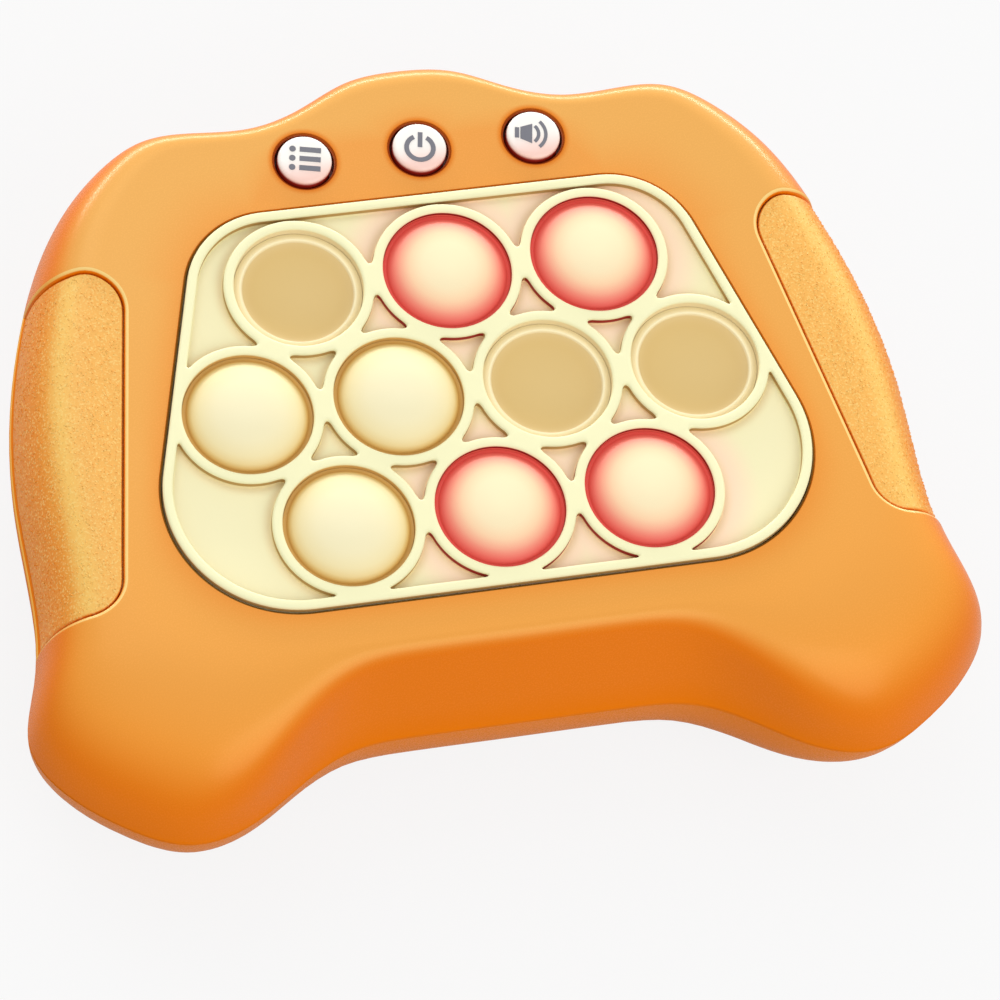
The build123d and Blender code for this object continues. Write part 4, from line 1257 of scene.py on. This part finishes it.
def room(points):
    """How far points lie from the mat's ridges, positive in a pocket, rounded where ridges meet."""
    points = np.atleast_2d(points)
    rings = np.hypot(*(points[:, None] - centres[None]).transpose(2, 0, 1)) - ring_radius
    (top_x, top_y, top_round), (low_x, low_y, low_round) = panel_corners
    shrink = mat_gap + rim_width
    slant = np.array((low_x - top_x, low_y - top_y))
    slant /= np.hypot(*slant)
    outward = np.array((-slant[1], slant[0]))
    x, y = np.abs(points[:, 0]), points[:, 1]
    side = (top_x - x) * outward[0] + (top_y - y) * outward[1]
    rim = np.minimum(np.minimum(top_y - y, y - low_y), side)
    for corner_y, radius, toward_y in ((top_y, top_round, 1), (low_y, low_round, -1)):
        mid_y = corner_y - toward_y * radius
        mid_x = top_x - (radius + (mid_y - top_y) * outward[1]) / outward[0]
        dx, dy = x - mid_x, y - mid_y
        share = dx / outward[0]
        rest = (dy - share * outward[1]) * toward_y
        rim = np.where((share > 0) & (rest > 0), radius - np.hypot(dx, dy), rim)
    rim -= shrink
    wedge = np.sqrt((np.maximum(web_round - rings, 0) ** 2).sum(axis=1))
    from_rings = np.maximum(web_round, rings.min(axis=1)) - wedge
    corner = np.hypot(np.maximum(rim_round - from_rings, 0), np.maximum(rim_round - rim, 0))
    return np.maximum(rim_round, np.minimum(from_rings, rim)) - corner


def slope_of(point):
    step = 0.01
    around = room(point + step * np.array(((1, 0), (-1, 0), (0, 1), (0, -1))))
    return np.array((around[0] - around[1], around[2] - around[3])) / (2 * step)


def settle(point):
    """Moves a point onto the nearest outline."""
    for _ in range(3):
        slope = slope_of(point)
        point = point - room(point)[0] * slope / (slope @ slope)
    return point


def walk_pocket(start, step=0.14):
    """The closed outline of the pocket round a point."""
    centre = centres[np.argmin(np.hypot(*(centres - start).T))]
    point = np.array(start, float)
    while room(point)[0] > 0:
        point = point + 0.05 * (centre - point) / np.hypot(*(centre - point))
    first = point = settle(point)
    found = [first]
    while len(found) < 12 or np.hypot(*(point - first)) > 0.8 * step:
        slope = slope_of(point)
        along = np.array((-slope[1], slope[0])) / np.hypot(*slope)
        point = settle(point + along * step)
        found.append(point)
    return np.array(found[:-1])


triples = (
    (1, 4, 5), (1, 2, 5), (2, 5, 6), (2, 3, 6), (3, 6, 7),
    (4, 5, 8), (5, 8, 9), (5, 6, 9), (6, 9, 10), (6, 7, 10),
)
starts = [centres[[number - 1 for number in triple]].mean(axis=0) for triple in triples]
starts += [np.array((side * x, y)) for x, y in ((11, -26.7), (40, -17)) for side in (-1, 1)]
starts.append(np.array((11, 29.5)))
pockets = [walk_pocket(start) for start in starts]
print(len(pockets), "pockets of", [len(pocket) for pocket in pockets], "points")

# %% [markdown]
# ## Building the mat
#
# The walls between the levels are bands of quads, and the flat tops and floors are filled between their
# loops. A hidden flange under the case's face keeps the mat in.

# %% Mat
mat_round = 0.45
mat_underside = 32.8
turned_edge = [(1 - cos(angle), 1 - sin(angle)) for angle in np.linspace(0, pi / 2, 6)]


def outset(points, distance):
    """A counter-clockwise or clockwise outline moved square to itself, away from its middle."""
    along = np.roll(points, -1, 0) - np.roll(points, 1, 0)
    along /= np.hypot(*along.T)[:, None]
    area = (points[:, 0] * np.roll(points[:, 1], -1) - np.roll(points[:, 0], -1) * points[:, 1]).sum()
    side = 1 if area > 0 else -1
    return points + np.stack((along[:, 1], -along[:, 0]), 1) * distance * side


mat = Shell()
tops = []
for pocket in pockets:
    levels = [(0, mat_floor), (0.04, mat_floor + 0.5)]
    levels += [(0.05 + mat_round * out, ring_top - mat_round * down) for out, down in turned_edge]
    loops = [mat.loop(outset(pocket, out), height) for out, height in levels]
    mat.walls(loops)
    mat.fill(loops[0], [])
    tops.append(loops[-1])
feet = []
for x, y in bubble_places:
    loops = [mat.loop(round_loop(x, y, bore_radius, 128), mat_underside)]
    loops += [
        mat.loop(round_loop(x, y, bore_radius + mat_round * out, 128), ring_top - mat_round * down)
        for out, down in turned_edge
    ]
    mat.walls(loops)
    feet.append(loops[0])
    tops.append(loops[-1])
edge_levels = [(1.3, mat_underside), (1.3, face_underside - 0.02), (-mat_gap, face_underside - 0.02)]
edge_levels += [(-mat_gap - mat_round * out, ring_top - mat_round * down) for out, down in turned_edge]
loops = [mat.loop(panel_loop(grow), height) for grow, height in edge_levels]
mat.walls(loops)
mat.fill(loops[-1], tops)
mat.fill(loops[0], feet)
mat_mesh = mesh_from("mat", mat.points, mat.faces, cream_silicone)
open_edges = finish_mesh(mat_mesh, 50, 0.0005)
place_piece("mat", weigh_normals(mat_mesh), "case", "silicone", "bubble_mat")
print("mat", len(mat_mesh.polygons), "faces", open_edges, "open edges")

# %% [markdown]
# ## Bubbles
#
# Each bubble is one thin skin of silicone, and popping bends it: its rim stays with the mat and its
# crown travels 4.8 mm. Here the skin is placed once and rides on no body, and only the stem under it
# rides on the bubble's body. The raised dome is steep at its edge and flatter at its crown. A pressed
# bubble is the shallow dish that the same skin becomes, solved so that it pops up into that same dome.
# The skins are turned parts, and one Geometry Nodes tree sweeps a profile round a circle for all of
# them, and for the stems under them that carry the contact pills.

# %% Turned parts by Geometry Nodes
def turned_tree():
    tree = bpy.data.node_groups.new("turned_part", "GeometryNodeTree")
    for name, kind in (
        ("Geometry", "NodeSocketGeometry"), ("Steps", "NodeSocketInt"), ("Centre Radius", "NodeSocketFloat"),
        ("Full Radius", "NodeSocketFloat"), ("Place", "NodeSocketVector"), ("Material", "NodeSocketMaterial"),
    ):
        tree.interface.new_socket(name, in_out="INPUT", socket_type=kind)
    tree.interface.new_socket("Geometry", in_out="OUTPUT", socket_type="NodeSocketGeometry")
    inputs = add(tree, "NodeGroupInput").outputs
    profile = add(tree, "GeometryNodeMeshToCurve", {"Mesh": inputs["Geometry"]})
    circle = add(
        tree,
        "GeometryNodeCurvePrimitiveCircle",
        {"Resolution": inputs["Steps"], "Radius": inputs["Centre Radius"]},
    )
    upright = add(tree, "GeometryNodeSetCurveNormal", {"Curve": circle.outputs["Curve"]}, mode="Z_UP")
    swept = add(
        tree,
        "GeometryNodeCurveToMesh",
        {"Curve": upright.outputs["Curve"], "Profile Curve": profile.outputs["Curve"]},
    )
    joined = add(
        tree, "GeometryNodeMergeByDistance", {"Geometry": swept.outputs["Mesh"], "Distance": 0.002 * mm}
    )
    spot = add(tree, "GeometryNodeInputPosition").outputs["Position"]
    plan = add(tree, "ShaderNodeVectorMath", {0: spot, 1: (1, 1, 0)}, operation="MULTIPLY")
    away = add(tree, "ShaderNodeVectorMath", {0: plan.outputs["Vector"]}, operation="LENGTH")
    reach = add(
        tree, "ShaderNodeMath", {0: away.outputs["Value"], 1: inputs["Full Radius"]}, operation="DIVIDE"
    )
    stored = add(
        tree,
        "GeometryNodeStoreNamedAttribute",
        {"Geometry": joined.outputs["Geometry"], "Name": "reach", "Value": reach.outputs["Value"]},
        data_type="FLOAT",
        domain="POINT",
    )
    moved = add(
        tree,
        "GeometryNodeTransform",
        {"Geometry": stored.outputs["Geometry"], "Translation": inputs["Place"]},
    )
    dressed = add(
        tree,
        "GeometryNodeSetMaterial",
        {"Geometry": moved.outputs["Geometry"], "Material": inputs["Material"]},
    )
    add(tree, "NodeGroupOutput", {"Geometry": dressed.outputs["Geometry"]})
    return tree


turned = turned_tree()
centre_radius = 20.0


def turned_mesh(name, profile, x, y, material, turns=96, sharp_angle=50):
    """A solid of revolution. The profile lists radius and height in millimetres, from axis to axis."""
    points = [((radius - centre_radius) * mm, -height * mm, 0) for radius, height in profile]
    line = bpy.data.meshes.new(name)
    line.from_pydata(points, [(i, i + 1) for i in range(len(points) - 1)], [])
    mesh = grown(
        name, line, turned, Steps=turns, Centre_Radius=centre_radius * mm, Full_Radius=bore_radius * mm,
        Place=(x * mm, y * mm, 0.0), Material=material,
    )
    finish_mesh(mesh, sharp_angle, 0.0005)
    return mesh


edge_height = 35.8
crown_rise = 2.5
travel = 4.8
dish_depth = 2.3
skin_thickness = 0.35
dome_radius = 8.75
skin_edge = 9.34
shares = np.sin(np.linspace(0, pi / 2, 40))
stand = (1 - shares**2.4) ** 0.8
raised = [(dome_radius * r, edge_height + crown_rise * s) for r, s in zip(shares[:-1], stand[:-1])]
raised += [(8.77, 35.76), (8.86, 35.7), (9.05, 35.68), (skin_edge, 35.7)]
dish_radius = 8.1
dish_edge = 0.62
depths = np.linspace(dish_edge, dish_depth, 200)
turned_share = depths / dish_depth
popped = -depths + travel * turned_share**2 * (3 - 2 * turned_share)
dish_rises = popped[0] + (crown_rise - popped[0]) * stand
dish = [
    (dish_radius * r, edge_height - np.interp(rise, popped, depths))
    for r, rise in zip(shares[:-1], dish_rises[:-1])
]
dish += [
    (8.13, 35.2), (8.17, 35.3), (8.25, 35.39), (8.38, 35.43), (8.52, 35.4), (8.64, 35.33), (8.8, 35.29),
    (skin_edge, 35.28),
]


def skin_profile(top):
    """Closes a skin below its top line."""
    return top + [(radius, height - skin_thickness) for radius, height in top[::-1]]


for number, (x, y) in enumerate(bubble_places, 1):
    body = f"bubble_{number}"
    pressed = number in pressed_bubbles
    material = pressed_silicone if pressed else lit_silicone if number in lit_bubbles else raised_silicone
    dome_mesh = turned_mesh(f"{body}_dome", skin_profile(dish if pressed else raised), x, y, material)
    dome = place_piece(f"{body}_dome", dome_mesh, None, "silicone", body)
    finish_height = edge_height - dish_depth if pressed else edge_height + crown_rise
    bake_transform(dome)
    pill_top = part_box(f"pill_{number}")[1][2] / mm
    stem_top = finish_height - skin_thickness - (0.02 if pressed else 0.2)
    stem = [(0, stem_top), (2.4, stem_top), (2.6, stem_top - 0.2), (2.6, pill_top), (0, pill_top)]
    stem_mesh = turned_mesh(f"{body}_stem", stem, x, y, cream_silicone, 48)
    place_piece(f"{body}_stem", stem_mesh, body, "silicone")
print("ten bubbles of", len(dome_mesh.polygons), "faces; pill top", round(pill_top, 2))

# %% [markdown]
# ## Buttons and their symbols
#
# The three buttons are turned caps with a flange that keeps them in the case. Their symbols are printed:
# a list for the menu, the power sign, and a loudspeaker with two waves. Print is a film a few hundredths
# of a millimetre thick, so each symbol is a flat shape raised by that much.

# %% Buttons and print
cap_top = 36.8
print_height = 0.05
cap = [
    (0, cap_top), (1.5, cap_top - 0.01), (2.9, cap_top - 0.05), (3.4, cap_top - 0.09),
    (3.65, cap_top - 0.17), (3.83, cap_top - 0.3), (3.95, cap_top - 0.5), (4.0, cap_top - 0.75),
]


symbol_turn = radians(-12)
symbol_scale = 1.13


def film(name, outlines, x, body):
    """Flat printed shapes, each a list of points round a button's middle."""
    points, faces = [], []
    swing = np.array(((cos(symbol_turn), -sin(symbol_turn)), (sin(symbol_turn), cos(symbol_turn))))
    for outline in [np.array(outline) @ swing.T * symbol_scale for outline in outlines]:
        first, count = len(points), len(outline)
        for level in (cap_top - 0.12, cap_top + print_height):
            points += [(x + dx, button_line + dy, level) for dx, dy in outline]
        faces.append(tuple(first + i for i in range(count))[::-1])
        faces.append(tuple(first + count + i for i in range(count)))
        for i in range(count):
            after = (i + 1) % count
            faces.append((first + i, first + after, first + count + after, first + count + i))
    mesh = mesh_from(name, points, faces, symbol_print)
    finish_mesh(mesh, 30, 0.0005)
    place_piece(name, mesh, body, "button_plastic")


def box_outline(x, y, width, height):
    return [(x - width / 2, y - height / 2), (x + width / 2, y - height / 2),
            (x + width / 2, y + height / 2), (x - width / 2, y + height / 2)]


def arc_outline(x, y, radius, width, start, end):
    angles = [radians(angle) for angle in np.linspace(start, end, 28)]
    outer = [(x + (radius + width / 2) * cos(a), y + (radius + width / 2) * sin(a)) for a in angles]
    inner = [(x + (radius - width / 2) * cos(a), y + (radius - width / 2) * sin(a)) for a in angles]
    return outer + inner[::-1]


dot_steps = np.linspace(0, 2 * pi, 20, endpoint=False)
rows = (1.35, 0, -1.35)
symbols = {
    "menu": [box_outline(0.65, row, 2.75, 0.72) for row in rows]
    + [[(-1.65 + 0.42 * cos(a), row + 0.42 * sin(a)) for a in dot_steps] for row in rows],
    "power": [arc_outline(0, -0.25, 1.75, 0.62, 118, 422), box_outline(0, 0.95, 0.6, 2.2)],
    "volume": [
        box_outline(-2.2, 0, 0.55, 1.5),
        [(-1.75, -0.85), (-0.2, -1.45), (-0.2, 1.45), (-1.75, 0.85)],
        arc_outline(-0.9, 0, 1.55, 0.45, -48, 48),
        arc_outline(-0.9, 0, 2.5, 0.45, -48, 48),
    ],
}
for (x, y), (name, outlines) in zip(button_places, symbols.items()):
    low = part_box(f"{name}_button")[0][2] / mm
    profile = cap + [(4.0, low + 1.0), (4.7, low + 1.0), (4.7, low), (0, low)]
    cap_mesh = turned_mesh(f"{name}_cap", profile, x, y, finishes["button_plastic"], 72, 50)
    place_piece(f"{name}_cap", cap_mesh, f"{name}_button", "button_plastic", f"{name}_button")
    film(f"{name}_symbol", outlines, x, f"{name}_button")
print("buttons reach down to", round(low, 2), "mm")

# %% [markdown]
# ## Light and ground
#
# The photograph looks like a catalogue shot on white, with very little shadow. A large soft lamp stands
# behind, another on the player's side, and a low strip behind lights the far edge. The white world fills
# the rest, and it is pure white only to the camera and to rays that pass through something clear. The
# floor is nearly white and takes the soft shadow.

# %% Lamps, world and floor
def soft_lamp(name, azimuth, elevation, distance, size, power, height=None):
    data = bpy.data.lights.new(name, "AREA")
    data.shape = "RECTANGLE" if height else "DISK"
    data.size = size
    if height:
        data.size_y = height
    data.energy = power
    lamp = linked(name, data)
    turn, climb = radians(azimuth), radians(elevation)
    direction = Vector((cos(turn) * cos(climb), sin(turn) * cos(climb), sin(climb)))
    lamp.location = direction * distance
    lamp.rotation_euler = direction.to_track_quat("Z", "Y").to_euler()
    return lamp


soft_lamp("key", 110, 58, 1.0, 0.7, 2.2)
soft_lamp("fill", -62, 44, 1.0, 0.8, 3.6)
soft_lamp("rim_strip", 80, 8, 0.9, 1.5, 9.0, 0.14)
bpy.context.scene.view_settings.view_transform = "Standard"
world = bpy.data.worlds.new("white_room")
bpy.context.scene.world = world
world.use_nodes = True
sky = world.node_tree
sky.nodes.clear()
rays = add(sky, "ShaderNodeLightPath")
seen = add(
    sky,
    "ShaderNodeMath",
    {0: rays.outputs["Is Camera Ray"], 1: rays.outputs["Is Transmission Ray"]},
    operation="MAXIMUM",
)
ambient = add(sky, "ShaderNodeBackground", {"Color": (1, 1, 1, 1), "Strength": 0.62})
white = add(sky, "ShaderNodeBackground", {"Color": (1, 1, 1, 1), "Strength": 1.0})
either = add(
    sky,
    "ShaderNodeMixShader",
    {0: seen.outputs[0], 1: ambient.outputs["Background"], 2: white.outputs["Background"]},
)
add(sky, "ShaderNodeOutputWorld", {"Surface": either.outputs["Shader"]})
floor_material, floor_tree, floor_shader, floor_place = new_material("white_paper_sweep")
fibre = add(floor_tree, "ShaderNodeTexNoise", {"Vector": floor_place, "Scale": 1 / (3 * mm)})
paper = blend_colours(floor_tree, fibre.outputs["Fac"], linear("CACACA"), linear("CECECE"))
floor_tree.links.new(paper, floor_shader.inputs["Base Color"])
floor_shader.inputs["Roughness"].default_value = 0.9
floor_rays = add(floor_tree, "ShaderNodeLightPath").outputs["Is Camera Ray"]
glare = add(floor_tree, "ShaderNodeEmission", {"Color": (1, 1, 1, 1), "Strength": 1.0})
washed = add(
    floor_tree,
    "ShaderNodeMixShader",
    {
        0: maths(floor_tree, "MULTIPLY", floor_rays, 0.86),
        1: floor_shader.outputs["BSDF"],
        2: glare.outputs["Emission"],
    },
)
paper_output = next(node for node in floor_tree.nodes if node.type == "OUTPUT_MATERIAL")
floor_tree.links.new(washed.outputs["Shader"], paper_output.inputs["Surface"])
floor_mesh = mesh_from(
    "sweep", [(-1500, -1500, -0.6), (1500, -1500, -0.6), (1500, 1500, -0.6), (-1500, 1500, -0.6)],
    [(0, 1, 2, 3)], floor_material,
)
floor = linked("sweep", floor_mesh)
print("lamps", len(bpy.data.lights))
